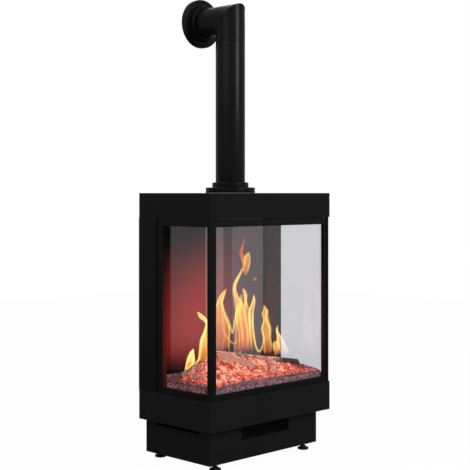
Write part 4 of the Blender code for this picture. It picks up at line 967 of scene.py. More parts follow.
def softened(points: Profile, radius: float, steps: int = 3) -> Profile:
    """Rounds the corners of a closed outline.

    Args:
        points: the corners.
        radius: how far from a corner the rounding starts.
        steps: segments in each corner.

    Returns:
        The rounded outline.
    """
    result: Profile = []
    most = 0.45
    for index, corner in enumerate(points):
        here = Vector(corner)
        before = Vector(points[index - 1]) - here
        after = Vector(points[(index + 1) % len(points)]) - here
        reach = min(radius, before.length * most, after.length * most)
        if reach < TINY or here.x < TINY:
            result.append(corner)
            continue
        start = here + before.normalized() * reach
        end = here + after.normalized() * reach
        for step in range(steps + 1):
            share = step / steps
            result.append(tuple(start.lerp(here, share).lerp(here.lerp(end, share), share)))
    return result


def clamped(value: float) -> float:
    """Keeps a value between 0 and 1."""
    return min(1.0, max(0.0, value))


def eased(share: float) -> float:
    """Share that starts and ends level."""
    share = clamped(share)
    return share * share * (3 - 2 * share)


def curve_through(points: Sequence[Sequence[float]], steps: int) -> list[tuple[float, ...]]:
    """Smooth curve through points of any number of coordinates.

    Args:
        points: the points to pass through.
        steps: segments between two points.

    Returns:
        Points along the curve.
    """
    result = []
    ends = [points[0], *points, points[-1]]
    for four in zip(ends, ends[1:], ends[2:], ends[3:]):
        for step in range(steps):
            t = step / steps
            point = []
            for a, b, c, d in zip(*four):
                square, cube = 2 * a - 5 * b + 4 * c - d, 3 * b - a - 3 * c + d
                point.append(0.5 * (2 * b + (c - a) * t + square * t**2 + cube * t**3))
            result.append(tuple(point))
    return [*result, tuple(points[-1])]


def front_corner() -> Vector:
    """Gives the body's front left corner at the level of its top."""
    low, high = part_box("upper_casing")
    return Vector((low.x, low.y, high.z))


# Studio


@dataclass
class Studio:
    """Camera, pale floor, white surroundings and soft lamps."""

    camera_reach: Place = (-3.0422, -3.1804, 0.0)
    camera_turn: float = -45.0
    lens: float = 85.10
    film_width: float = 36.0
    shift: float = -0.0893
    view_end: float = 200.0
    floor_size: float = 13.0
    floor_colour: Colour = (0.80, 0.80, 0.80)
    floor_share: float = 0.97
    ambient: float = 0.55
    mirrored: float = 0.57
    dim_reach: tuple[float, float] = (2.5, 4.7)
    lamps: tuple[tuple[str, Place, Place, tuple[float, float], float], ...] = (
        ("key_softbox", (1.10, -4.60, 3.05), (0.0, 0.0, 1.55), (0.8, 2.0), 150.0),
        ("left_softbox", (-4.2, -0.6, 3.4), (0.0, 0.0, 1.0), (3.4, 3.0), 60.0),
        ("back_softbox", (1.6, 3.4, 3.2), (0.0, 0.2, 1.0), (1.6, 1.6), 16.0),
    )

    def build(self) -> None:
        """Sets up everything that isn't part of the object."""
        self.make_camera()
        self.make_world()
        self.make_floor()
        for name, place, target, size, power in self.lamps:
            self.make_lamp(name, place, target, size, power)
        bpy.context.scene.view_settings.view_transform = "Standard"

    def make_camera(self) -> None:
        """Places the camera at the photograph's viewing angle."""
        data = bpy.data.cameras.new("camera")
        data.lens = self.lens
        data.sensor_width = self.film_width
        data.shift_y = self.shift
        data.clip_end = self.view_end
        camera = shown("camera", data, front_corner() + Vector(self.camera_reach))
        camera.rotation_euler = (math.radians(90.0), 0.0, math.radians(self.camera_turn))
        bpy.context.scene.camera = camera

    def emptied(self, owner: Any) -> NodeWriter:
        """Starts a world's or a material's nodes from nothing.

        Args:
            owner: the world or material.

        Returns:
            The writer of its nodes.
        """
        owner.use_nodes = True
        owner.node_tree.nodes.clear()
        return NodeWriter(owner.node_tree)

    def rays(self, write: NodeWriter) -> tuple[Socket, Socket]:
        """Tells rays that go straight to the eye, also through glass, from mirrored ones.

        Args:
            write: the tree's writer.

        Returns:
            1 for a straight ray, and 1 for a mirrored one.
        """
        path = write.node("LightPath").outputs
        mirrored = write.maths("MINIMUM", path["Glossy Depth"], 1.0)
        straight = write.maths("MAXIMUM", path["Is Camera Ray"], path["Is Transmission Ray"])
        return write.minus(straight, mirrored, clamp=True), mirrored

    def make_world(self) -> None:
        """White to the eye, dimmer in mirrors; plain soft light otherwise."""
        world = bpy.context.scene.world = bpy.data.worlds.new("studio")
        write = self.emptied(world)
        straight, mirrored = self.rays(write)
        more = write.times(straight, 1.0 - self.ambient)
        less = write.times(mirrored, self.mirrored - self.ambient)
        strength = write.plus(write.plus(more, less), self.ambient)
        light = write.node("Background", {"Color": WHITE, "Strength": strength})
        write.node("OutputWorld", {"Surface": light.outputs[0]})

    def make_floor(self) -> None:
        """Large pale floor that keeps a faint shadow of the object, and dims in mirrors near it."""
        material = bpy.data.materials.new("studio_floor")
        write = self.emptied(material)
        straight, mirrored = self.rays(write)
        away = write.vector("LENGTH", write.place(), output=1)
        far = write.times(write.spread(away, *self.dim_reach), self.mirrored)
        glow = write.plus(straight, write.times(mirrored, far))
        plain = write.node("BsdfDiffuse", {"Color": self.floor_colour}).outputs[0]
        white = write.node("Emission", {"Color": WHITE, "Strength": glow}).outputs[0]
        share = write.times(write.plus(straight, mirrored), self.floor_share)
        mixed = write.node("MixShader", {0: share, 1: plain, 2: white})
        write.node("OutputMaterial", {"Surface": mixed.outputs[0]})
        bm = bmesh.new()
        bmesh.ops.create_grid(bm, x_segments=2, y_segments=2, size=self.floor_size / 2)
        floor = mesh_piece("studio_floor", bm, material)

    def make_lamp(
        self, name: str, place: Place, target: Place, size: tuple[float, float], power: float
    ) -> None:
        """Adds a soft rectangular lamp.

        Args:
            name: the lamp's name.
            place: where it hangs.
            target: what it points at.
            size: its width and height.
            power: its power in watts.
        """
        data = bpy.data.lights.new(name, "AREA")
        data.shape = "RECTANGLE"
        data.size, data.size_y = size
        data.energy = power
        lamp = shown(name, data, place)
        lamp.rotation_euler = (Vector(target) - Vector(place)).to_track_quat("-Z", "Y").to_euler()
        lamp.visible_camera = False


# Dressed CAD nodes


CASING_PAINT = Paint(roughness=0.46, specular=0.055)
LOW_PAINT = replace(CASING_PAINT, colour=(0.0078, 0.0078, 0.0079))
CHAMBER_PAINT = Paint(roughness=0.60, specular=0.03, colour=(0.004, 0.0036, 0.0036), dust=0.0)


@dataclass
class Dressing:
    """Finishes of the CAD nodes that stay in view."""

    stile: float = 0.019
    pane_lap: float = 0.008
    built_later: tuple[str, ...] = ("ember", "log")
    made: dict[str, bpy.types.Material] = field(default_factory=dict)

    def __post_init__(self) -> None:
        """Names the finish of each material slot and of each node that differs from its slot."""
        self.finishes: dict[str, Finish] = {
            "black_steel": CASING_PAINT,
            "chamber_steel": CHAMBER_PAINT,
            "galvanised_steel": Metal(roughness=0.42, colour=(0.50, 0.52, 0.54), spangle=60.0),
            "bright_steel": Metal(roughness=0.28, colour=(0.62, 0.62, 0.62)),
            "aluminium": Metal(roughness=0.34, colour=(0.80, 0.80, 0.81), along=(1.0, 0.05, 1.0)),
            "gasket": Gasket(),
            # The tray's enamel carries an even glow of painted ember light.
            "ash_enamel": Stones(
                dark=(0.006, 0.005, 0.005), light=(0.26, 0.225, 0.225), scale=120.0,
                glow=(0.32, 0.03, 0.025), evenly=0.7,
            ),
            "grey_plastic": Plastic(colour=(0.16, 0.165, 0.17)),
            "black_plastic": Plastic(colour=(0.012, 0.012, 0.013), roughness=0.42, specular=0.3),
            "foot_plastic": Plastic(colour=(0.010, 0.010, 0.010), roughness=0.6, specular=0.25),
            "tank_plastic": Plastic(colour=(0.75, 0.80, 0.84), roughness=0.25, clear=0.7),
            "lamp": Lens(),
            "flue": Paint(roughness=0.31, specular=0.08, colour=(0.0040, 0.0040, 0.0042), grain=700.0),
            "side_glass": Glass(refraction=1.43, tint=(0.820, 0.820, 0.847), haze=0.002),
            "door_glass": Glass(refraction=1.53, tint=(0.829, 0.829, 0.855), haze=0.003),
            "plinth": LOW_PAINT,
            "lower_casing": LOW_PAINT,
            "outlet_grille": replace(CHAMBER_PAINT, colour=(0.0026, 0.0026, 0.0026)),
            "chamber_back_panel": replace(CHAMBER_PAINT, lights=self.wall_lights()),
            "chamber_liner_right": replace(CHAMBER_PAINT, lights=self.liner_lights()),
            **self.lit_frames(),
        }

    def wall_lights(self) -> tuple[PaintedLightPatch, ...]:
        """Painted firelight on the back panel, with the painted shadow of the bed low down and pale upright
        strips of painted reflection.

        Returns:
            The patches.
        """
        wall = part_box("chamber_back_panel")[0].y
        return (
            # Painted firelight from the flames and embers.
            PaintedLightPatch((-0.165, wall, 0.545), (0.27, 0.30, 0.43), (0.33, 0.012, 0.008)),
            PaintedLightPatch((0.000, wall, 0.670), (0.24, 0.30, 0.36), (0.22, 0.016, 0.014)),
            # Painted shadow of the bed, low on the wall.
            PaintedLightPatch((-0.200, wall, 0.340), (0.36, 0.30, 0.145), (0.20, 0.014, 0.012), shade=True),
            # Pale upright strips: painted reflections of the bright surroundings.
            PaintedLightPatch((0.010, wall, 0.800), (0.057, 0.10, 0.90), (0.122, 0.100, 0.102), even=0.90),
            PaintedLightPatch((0.090, wall, 0.800), (0.026, 0.10, 0.90), (0.032, 0.024, 0.026), even=0.90),
            PaintedLightPatch((0.217, wall, 0.800), (0.105, 0.10, 0.90), (0.106, 0.080, 0.086), even=0.94),
            # Fainter painted firelight to the right.
            PaintedLightPatch((0.150, wall, 0.560), (0.25, 0.10, 0.22), (0.050, 0.006, 0.010)),
        )

    def liner_lights(self) -> tuple[PaintedLightPatch, ...]:
        """Painted firelight on the right liner, with a taller and fainter patch over it.

        Returns:
            The patches.
        """
        x, y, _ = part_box("chamber_liner_right")[0]
        return (
            PaintedLightPatch((x, y, 0.53), (0.30, 0.30, 0.32), (0.050, 0.003, 0.004)),
            PaintedLightPatch((x, y, 0.72), (0.30, 0.30, 0.45), (0.016, 0.001, 0.002), even=0.5),
        )

    def lit_frames(self) -> dict[str, Finish]:
        """Paint of the two frames, with the firelight on their reveals painted in as glow.

        Returns:
            The finish of each.
        """
        low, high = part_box("door_frame")
        pane_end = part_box("side_glass_left")[1].y - self.pane_lap
        door = (high.x - self.stile, (low.y + high.y) / 2, 0.56)
        # Painted firelight on the reveals of the left frame and of the door frame.
        left = PaintedLightPatch((low.x, pane_end, 0.55), (0.05, 0.02, 0.36), (0.085, 0.004, 0.003), (0.0, -1.0, 0.0))
        right = PaintedLightPatch(door, (0.02, 0.03, 0.34), (0.035, 0.002, 0.002), (-1.0, 0.0, 0.0))
        return {
            "side_frame_left": replace(CASING_PAINT, lights=(left,)),
            "door_frame": replace(CASING_PAINT, lights=(right,)),
        }

    def material(self, name: str) -> bpy.types.Material:
        """Gives a finish's material, built once.

        Args:
            name: the finish's name.

        Returns:
            The material.
        """
        if name not in self.made:
            self.made[name] = self.finishes[name].make(name)
        return self.made[name]

    def build(self) -> None:
        """Gives every CAD node, besides those of the slots built later, its own finish or that of its slot.
        """
        slots = {row["node"]: row["material_slot"] for row in FRAME["record"]["subparts"]}
        for name, node in FRAME["nodes"].items():
            if slots[name] in self.built_later:
                continue
            finish = "side_glass" if name.startswith("side_glass") else name
            finish = finish if finish in self.finishes else slots[name]
            node.data.materials.clear()
            node.data.materials.append(self.material(finish))
            log.info("node %s gets %s", name, finish)


# Flue


@dataclass
class Flue:
    """Turned and mitred pieces from the top of the body to the wall."""

    steps: int = 96
    wall: float = 0.0015
    sheet: float = 0.0015
    gap: float = 0.0003
    flange: float = 0.014
    bevel: float = 0.003
    swage: float = 0.030
    leg: float = 0.100
    edge: float = 0.0016
    groove: float = 0.0008
    groove_at: float = 0.08
    stations: tuple[float, ...] = (-1.0, -0.5, -0.08, -0.03, 0.0, 0.03, 0.08, 0.5, 1.0)

    def build(self, material: bpy.types.Material) -> None:
        """Builds the seven pieces where the CAD has them.

        Args:
            material: the flue's paint.
        """
        self.material = material
        low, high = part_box("flue_pipe")
        self.radius = (high.x - low.x) / 2
        self.axis_y = (low.y + high.y) / 2
        wall_low, wall_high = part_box("flue_wall_rosette")
        self.axis_z = (wall_low.z + wall_high.z) / 2
        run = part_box("flue_wall_pipe")
        up = Matrix.Translation((0.0, self.axis_y, low.z))
        level = Matrix.Translation((0.0, wall_high.y, self.axis_z)) @ Matrix.Rotation(math.pi / 2, 4, "X")
        self.place("flue_pipe", self.pipe(high.z - low.z - self.swage), up)
        self.place("flue_wall_pipe", self.pipe(run[1].y - run[0].y - self.swage), level)
        for kind, flange in (("rosette", self.flange), ("collar", 0.0)):
            bottom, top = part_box(f"flue_base_{kind}")
            size = top - bottom
            raised = up @ Matrix.Translation((0.0, 0.0, 0.0 if flange else bottom.z - low.z))
            self.place(f"flue_base_{kind}", self.cup(size.x / 2, size.z, flange), raised)
            near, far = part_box(f"flue_wall_{kind}")
            size = far - near
            raised = level @ Matrix.Translation((0.0, 0.0, 0.0 if flange else wall_high.y - far.y))
            self.place(f"flue_wall_{kind}", self.cup(size.x / 2, size.y, flange), raised)
        self.elbow()

    def place(self, node: str, profile: Profile, turn: Matrix) -> None:
        """Turns a profile and puts it in a node's place.

        Args:
            node: the CAD node that it stands for.
            profile: the closed profile.
            turn: where the axis lies.
        """
        bm = turned(softened(profile, self.edge), self.steps, turn)
        attach(mesh_piece(node + "_drawn", bm, self.material, 40.0), Body.CASING.value, "black_steel", node)

    def pipe(self, length: float) -> Profile:
        """Pipe with a narrowed end that slips into the elbow.

        Args:
            length: its length without that end.

        Returns:
            The profile.
        """
        outer, inner, end = self.radius - self.wall - self.gap, self.radius - self.wall, length + self.swage
        return [
            (self.radius, 0.0),
            (self.radius, length),
            (outer, length),
            (outer, end),
            (outer - self.wall, end),
            (outer - self.wall, length - self.wall),
            (inner, length - 2 * self.wall),
            (inner, 0.0),
        ]

    def cup(self, radius: float, height: float, flange: float) -> Profile:
        """Shallow pressed cup that covers the edge of a hole, or the gap round the pipe.

        Args:
            radius: its outer radius.
            height: its height.
            flange: width of the flange at its foot, or 0.

        Returns:
            The profile.
        """
        bore, inner = self.radius + self.gap, radius - self.sheet
        foot = [(radius - flange, 0.0), (radius - flange, self.sheet), (inner, self.sheet)]
        return [
            (bore, height - self.sheet),
            (bore, height),
            (radius - self.bevel, height),
            (radius, height - self.bevel),
            (radius, 0.0),
            *(foot if flange else [(inner, 0.0)]),
            (inner, height - self.sheet),
        ]

    def elbow(self) -> None:
        """Two legs that meet in one mitre, with a fine groove on each side of the weld."""
        bm = bmesh.new()
        loops = []
        for radius, order in ((self.radius, self.stations), (self.radius - self.wall, self.stations[::-1])):
            for share in order:
                grooved = radius == self.radius and abs(share) == self.groove_at
                grown = radius - self.groove if grooved else radius
                loop = []
                for cosine, sine in directions(self.steps):
                    across = grown * sine
                    upright = (across, -across + (across - self.leg) * -share)
                    level = (across + (self.leg - across) * share, -across)
                    loop.append(bm.verts.new((grown * cosine, *(upright if share <= 0 else level))))
                loops.append(loop)
        skin(bm, loops + loops[:1])
        bmesh.ops.translate(bm, vec=(0.0, self.axis_y, self.axis_z), verts=bm.verts)
        piece = mesh_piece("flue_elbow_welded", bm, self.material, 30.0)
        attach(piece, Body.CASING.value, "black_steel", "flue_elbow")


# Feet, screws, pins and the catch plunger


@dataclass
class SmallParts:
    """Turned feet, screws, pins and the plunger, each in its node's place."""

    dressing: Dressing
    foot_steps: int = 40
    screw_steps: int = 24
    pin_steps: int = 28
    thread: float = 0.0012
    thread_start: float = 0.0185
    crown: float = 0.0022

    def build(self) -> None:
        """Builds every small turned part."""
        for name in [name for name in FRAME["nodes"] if name.startswith("foot_")]:
            self.foot(name)
        for index in range(1, 5):
            self.screw(f"back_cover_screw_{index}")
        for name in ("door_pin_lower", "door_pin_upper"):
            self.pin(name)
        self.plunger("catch_plunger")

    def place(self, node: str, profile: Profile, turn: Matrix, steps: int, body: str, slot: str) -> None:
        """Turns a profile and puts it in a node's place.

        Args:
            node: the CAD node that it stands for.
            profile: the closed profile.
            turn: where the axis lies.
            steps: segments round the axis.
            body: the body that it rides on.
            slot: its material slot.
        """
        bm = turned(profile, steps, turn)
        attach(mesh_piece(node + "_turned", bm, self.dressing.material(slot), 30.0), body, slot, node)

    def foot(self, node: str) -> None:
        """Levelling foot with a pad, a hub and a threaded stem.

        Args:
            node: the CAD node that it stands for.
        """
        low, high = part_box(node)
        pad, height = (high.x - low.x) / 2, high.z
        profile = [(0.0, 0.0), (pad - 0.002, 0.0), (pad, 0.002), (pad, 0.0075), (pad * 0.96, 0.0085)]
        profile += [(pad * 0.52, 0.0105), (pad * 0.50, 0.0165), (0.0052, 0.0175)]
        level = self.thread_start
        while level + self.thread < height - 0.001:
            profile += [(0.0050, level), (0.0044, level + self.thread / 2)]
            level += self.thread
        profile += [(0.0046, height - 0.0008), (0.0036, height), (0.0, height)]
        centre = Matrix.Translation(((low.x + high.x) / 2, (low.y + high.y) / 2, 0.0))
        self.place(node, profile, centre, self.foot_steps, node, "foot_plastic")

    def screw(self, node: str) -> None:
        """Pan-head screw with a round recess.

        Args:
            node: the CAD node that it stands for.
        """
        low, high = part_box(node)
        head, crown = (high.x - low.x) / 2, self.crown
        shank, tip = head * 0.5, crown - (high.y - low.y)
        profile = [(0.0, crown - 0.0012), (head * 0.16, crown - 0.0010), (head * 0.20, crown - 0.0001)]
        profile += [(head * 0.55, crown - 0.0003), (head * 0.85, crown - 0.0009), (head, crown - 0.0017)]
        profile += [(head, 0.0), (shank, 0.0), (shank, tip + 0.0010), (0.0, tip)]
        place = ((low.x + high.x) / 2, high.y - crown, (low.z + high.z) / 2)
        turn = Matrix.Translation(place) @ Matrix.Rotation(-math.pi / 2, 4, "X")
        self.place(node, profile, turn, self.screw_steps, Body.CASING.value, "bright_steel")

    def pin(self, node: str) -> None:
        """Riveted pivot pin, with the radii that the CAD's own vertices have at each level.

        Args:
            node: the CAD node that it stands for.
        """
        low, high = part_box(node)
        centre = (low + high) / 2
        places = [vert.co for vert in FRAME["nodes"][node].data.vertices]
        spans = [(round(co.z, 5), math.hypot(co.x - centre.x, co.y - centre.y)) for co in places]
        levels = sorted({level for level, _ in spans})
        profile = [(0.0, levels[0])]
        previous = 0.0
        for level in levels:
            reach = sorted({round(radius, 4) for height, radius in spans if height == level})
            if previous > reach[0] + 1e-4:
                reach.reverse()
            profile += [(radius, level) for radius in reach]
            previous = reach[-1]
        profile.append((0.0, levels[-1]))
        turn = Matrix.Translation((centre.x, centre.y, 0.0))
        self.place(node, profile, turn, self.pin_steps, Body.CASING.value, "bright_steel")

    def plunger(self, node: str) -> None:
        """Rounded plunger of the push catch.

        Args:
            node: the CAD node that it stands for.
        """
        low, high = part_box(node)
        radius, length = (high.x - low.x) / 2, high.y - low.y
        profile = [(0.0, 0.0), (radius * 0.55, 0.0), (radius * 0.86, 0.0004), (radius, 0.0014)]
        profile += [(radius, length), (0.0, length)]
        place = ((low.x + high.x) / 2, low.y, (low.z + high.z) / 2)
        turn = Matrix.Translation(place) @ Matrix.Rotation(-math.pi / 2, 4, "X")
        self.place(node, profile, turn, self.pin_steps, Body.PLUNGER.value, "black_plastic")


# Fire bed and logs


BED_CROWN = 0.090
BED_EDGE = 0.008
THICKEST_LOG = 0.027


@dataclass
class LogLine:
    """One log: its ends, by shares of the body's width, its depth and the bed's crown, and how it burns."""

    node: str
    begins: Place
    ends: Place
    thick: float
    seed: int
    heat: float
    split: float = 0.0
    cut_glow: Colour = Bark.cut_glow
    cool_end: float = 0.0

    def __post_init__(self) -> None:
        """Works out the axis and the radius in metres."""
        self.start = self.laid(*self.begins)
        self.run = self.laid(*self.ends) - self.start
        self.radius = THICKEST_LOG * self.thick

    def laid(self, across: float, along: float, lift: float) -> Vector:
        """Turns the shares into a place.

        Args:
            across: share of the body's width.
            along: share of the body's depth.
            lift: share of the bed's crown.

        Returns:
            The place in metres.
        """
        low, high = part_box("upper_casing")
        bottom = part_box("ember_bed")[0].z + BED_EDGE
        x = low.x + (high.x - low.x) * across
        y = low.y + (high.y - low.y) * along
        return Vector((x, y, bottom + BED_CROWN * lift))

    def distance(self, point: Vector) -> float:
        """Gives the distance from a point to the axis."""
        share = clamped((point - self.start).dot(self.run) / self.run.length_squared)
        return (self.start + self.run * share - point).length


LOG_LINES = (
    LogLine(
        "log_rear", (0.290, 0.492, 1.025), (0.895, 0.285, 0.230),
        thick=0.89, seed=11, heat=0.50, cut_glow=(0.06, 0.030, 0.032), cool_end=0.92,
    ),
    LogLine(
        "log_front", (0.291, 0.365, 1.040), (0.471, 0.228, 0.470),
        thick=1.00, seed=23, heat=0.46, split=0.50,
    ),
    LogLine(
        "log_right", (0.630, 0.251, 0.497), (0.582, 0.137, 0.252),
        thick=0.90, seed=37, heat=0.50, cut_glow=(0.74, 0.26, 0.14),
    ),
    LogLine("log_left", (0.099, 0.536, 0.220), (0.205, 0.468, 0.640), thick=0.67, seed=41, heat=0.40),
    LogLine("log_near_glass", (0.106, 0.423, 0.180), (0.180, 0.240, 0.240), thick=0.67, seed=53, heat=0.36),
)


@dataclass
class Mound:
    """Shape of the bed, as the CAD has it."""

    peak_across: float = 0.33
    peak_along: float = 0.50
    right_share: float = 0.20
    rear_share: float = 0.04

    def __post_init__(self) -> None:
        """Reads the bed's box from the frame."""
        self.low, self.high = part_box("ember_bed")

    def level(self, x: float, y: float) -> float:
        """Level of the bed's surface.

        Args:
            x: place from left to right.
            y: place from front to rear.

        Returns:
            The level in metres.
        """
        across = clamped((x - self.low.x) / (self.high.x - self.low.x))
        along = clamped((y - self.low.y) / (self.high.y - self.low.y))
        rise = eased(across / self.peak_across)
        if across >= self.peak_across:
            rise = 1 - (1 - self.right_share) * (across - self.peak_across) / (1 - self.peak_across)
        swell = math.sin(math.pi / 2 * along / self.peak_along)
        if along >= self.peak_along:
            swell = 1 - (1 - self.rear_share) * eased((along - self.peak_along) / (1 - self.peak_along))
        return self.low.z + BED_EDGE + BED_CROWN * rise * swell


@dataclass(frozen=True)
class Lump:
    """One lump of the bed: its centre, its largest radius and its warmth."""

    centre: Vector
    size: float
    warmth: float


@dataclass
class FireBed:
    """Ash, glowing lumps and grey stones in the tray."""

    lumps: int = 1900
    stones: int = 1100
    patterns: int = 36
    columns: int = 130
    rows: int = 66
    unevenness: float = 0.0022
    sunk: float = 0.0006
    chance: random.Random = field(default_factory=lambda: random.Random(7))

    def build(self) -> None:
        """Builds the bed's three pieces."""
        self.mound = Mound()
        self.low, self.high = self.mound.low, self.mound.high
        self.ash_surface()
        self.ember_lumps()
        self.grey_stones()

    def warmth(self, x: float, y: float) -> float:
        """How warm the bed is at a place.

        Args:
            x: place from left to right.
            y: place from front to rear.

        Returns:
            The warmth, from 0 to 1.
        """
        low, high = self.low, self.high
        swing = 0.012 * noise.noise(Vector((x * 26, y * 26, 5.0)))
        front = eased((y - low.y - 0.004 * eased((0.05 - x) / 0.30) + 0.002 + 1.9 * swing) / 0.017)
        left = eased((x - low.x - 0.002 + swing) / 0.034)
        right = eased((high.x - 0.010 - x + swing) / 0.050)
        rear = eased((0.040 + 0.25 * max(0.0, x + 0.20) - y + swing) / 0.040)
        patch = noise.noise(Vector((x * 17, y * 17, 3.1)))
        cooler = 1 - 0.56 * eased((x - 0.12) / 0.17) - 0.26 * eased((x - 0.20) / 0.06)
        return clamped(front * left * right * rear * cooler * (0.86 + 0.36 * patch))

    def ash_surface(self) -> None:
        """Closed body of the bed with a fine uneven top."""
        low, high = self.low, self.high
        bm = bmesh.new()
        layers = number_layers(bm, "warmth")
        rows = []
        for row in range(self.rows + 1):
            points = []
            for column in range(self.columns + 1):
                x = low.x + (high.x - low.x) * column / self.columns
                y = low.y + (high.y - low.y) * row / self.rows
                inside = 0 < row < self.rows and 0 < column < self.columns
                rough = noise.fractal(Vector((x * 130, y * 130, 0.0)), 0.8, 2.0, 3) * inside
                z = self.mound.level(x, y) + rough * self.unevenness - self.sunk
                points.append(marked(bm, (x, y, z), layers, warmth=self.warmth(x, y)))
            rows.append(points)
        skin(bm, rows, closed=False)
        between = rows[1:-1]
        rim = rows[0] + [row[-1] for row in between] + rows[-1][::-1] + [row[0] for row in between[::-1]]
        foot = [bm.verts.new((vert.co.x, vert.co.y, low.z)) for vert in rim]
        skin(bm, [rim, foot])
        bm.faces.new(foot)
        # Painted ember light on the ash, as glow by the bed's warmth.
        finish = Stones(light=(0.19, 0.165, 0.172), scale=150.0, glow=(1.20, 0.050, 0.035), evenly=0.12)
        bed = mesh_piece("ash_bed", bm, finish.make("ash_bed"), 60.0)
        attach(bed, Body.CASING.value, "ember", "ember_bed")

    def shapes(self, corners: int) -> list[tuple[list[Vector], list[tuple[int, ...]]]]:
        """Makes broken lumps of unit size to choose from.

        Args:
            corners: number of corners before the hull.

        Returns:
            Corners and faces of each lump.
        """
        result = []
        for _ in range(self.patterns):
            bm = bmesh.new()
            for _ in range(corners):
                way = Vector([self.chance.gauss(0, 1) for _ in range(3)]).normalized()
                bm.verts.new(way * self.chance.uniform(0.82, 1.0))
            hull = bmesh.ops.convex_hull(bm, input=bm.verts)
            loose = [item for item in hull["geom_interior"] if isinstance(item, bmesh.types.BMVert)]
            bmesh.ops.delete(bm, geom=loose, context="VERTS")
            bm.verts.index_update()
            faces = [tuple(vert.index for vert in face.verts) for face in bm.faces]
            result.append(([vert.co.copy() for vert in bm.verts], faces))
            bm.free()
        return result

    def scattered(self, name: str, spots: list[Lump], finish: Finish, corners: int, angle: float) -> None:
        """Joins lumps into one piece.

        Args:
            name: the piece's name.
            spots: where the lumps lie.
            finish: their finish.
            corners: number of corners of a lump before the hull.
            angle: degrees above which an edge stays crisp.
        """
        chance = self.chance
        shapes = self.shapes(corners)
        bm = bmesh.new()
        layers = number_layers(bm, "warmth")
        for spot in spots:
            places, faces = chance.choice(shapes)
            turn = Matrix.Rotation(chance.uniform(0, FULL_TURN), 3, "Z")
            turn = turn @ Matrix.Rotation(chance.uniform(-0.6, 0.6), 3, "X")
            stretch = Vector((1.0, chance.uniform(0.6, 0.95), chance.uniform(0.55, 0.85)))
            verts = []
            for place in places:
                moved = turn @ (place * stretch * spot.size)
                warmth = max(0.0, spot.warmth - 0.16 * moved.z / spot.size)
                verts.append(marked(bm, spot.centre + moved, layers, warmth=warmth))
            for face in faces:
                bm.faces.new([verts[index] for index in face])
        attach(mesh_piece(name, bm, finish.make(name), angle), Body.CASING.value, "ember")

    def in_log(self, centre: Vector, margin: float = 0.0) -> bool:
        """Tells whether a place lies in a log, or within the margin round it."""
        return any(line.distance(centre) < line.radius + margin for line in LOG_LINES)

    def ember_lumps(self) -> None:
        """Glowing lumps over the mound, left out where a log lies."""
        chance, low, high = self.chance, self.low, self.high
        spots: list[Lump] = []
        while len(spots) < self.lumps:
            x = chance.uniform(low.x + 0.010, high.x - 0.010)
            y = chance.uniform(low.y + 0.009, high.y - 0.010)
            if self.warmth(x, y) < chance.uniform(0.10, 0.34):
                continue
            size = chance.uniform(0.0050, 0.0095 if x > 0.22 else 0.0120)
            size = min(size, y - low.y - 0.001)
            heap = 0.008 * math.exp(-(((x - low.x - 0.055) / 0.040) ** 2)) * chance.random()
            lift = chance.uniform(0.0, 0.55) - 0.30 * eased((x - 0.19) / 0.07)
            centre = Vector((x, y, self.mound.level(x, y) + heap + size * lift))
            if self.in_log(centre, size * 0.2):
                continue
            drift = 1 + 0.62 * noise.noise(Vector((x * 36, y * 36, 9.0)))
            spots.append(Lump(centre, size, self.warmth(x, y) * drift * chance.uniform(0.52, 1.18)))
        self.scattered("ember_lumps", spots, Embers(), 11, 25.0)

    def grey_stones(self) -> None:
        """Grey stones along the panes and at the cool ends, with ember light painted on them as glow."""
        chance, low, high = self.chance, self.low, self.high
        spots: list[Lump] = []
        while len(spots) < self.stones:
            size = chance.uniform(0.0032, 0.0078)
            strip = chance.random()
            if strip < 0.46:
                base, lift = 0.95, 0.4
                x = chance.uniform(low.x + size, high.x - size)
                y = low.y + size + abs(chance.gauss(0, 0.009))
            elif strip < 0.80:
                base, lift = 0.22, 0.5
                x = low.x + size + abs(chance.gauss(0, 0.010))
                y = chance.uniform(low.y + size, low.y + 0.20)
            else:
                base, lift = 0.62, 0.0
                size *= 0.7
                x = high.x - size - abs(chance.gauss(0, 0.016))
                y = chance.uniform(low.y + size, high.y - size)
            if not low.x + size < x < high.x - size or not low.y + size < y < high.y - size:
                continue
            centre = Vector((x, y, self.mound.level(x, y) + size * chance.uniform(0.0, lift)))
            if not self.in_log(centre):
                # Painted ember light: a stone's warmth sets its glow, strongest in the strip along the front
                # pane.
                warmth = base * chance.uniform(0.4, 1.6) + 0.8 * self.warmth(x, y)
                spots.append(Lump(centre, size, warmth))
        finish = Stones(scale=110.0, light=(0.30, 0.262, 0.268), depth=0.0005, glow=(1.30, 0.095, 0.085))
        self.scattered("grey_stones", spots, finish, 14, 40.0)


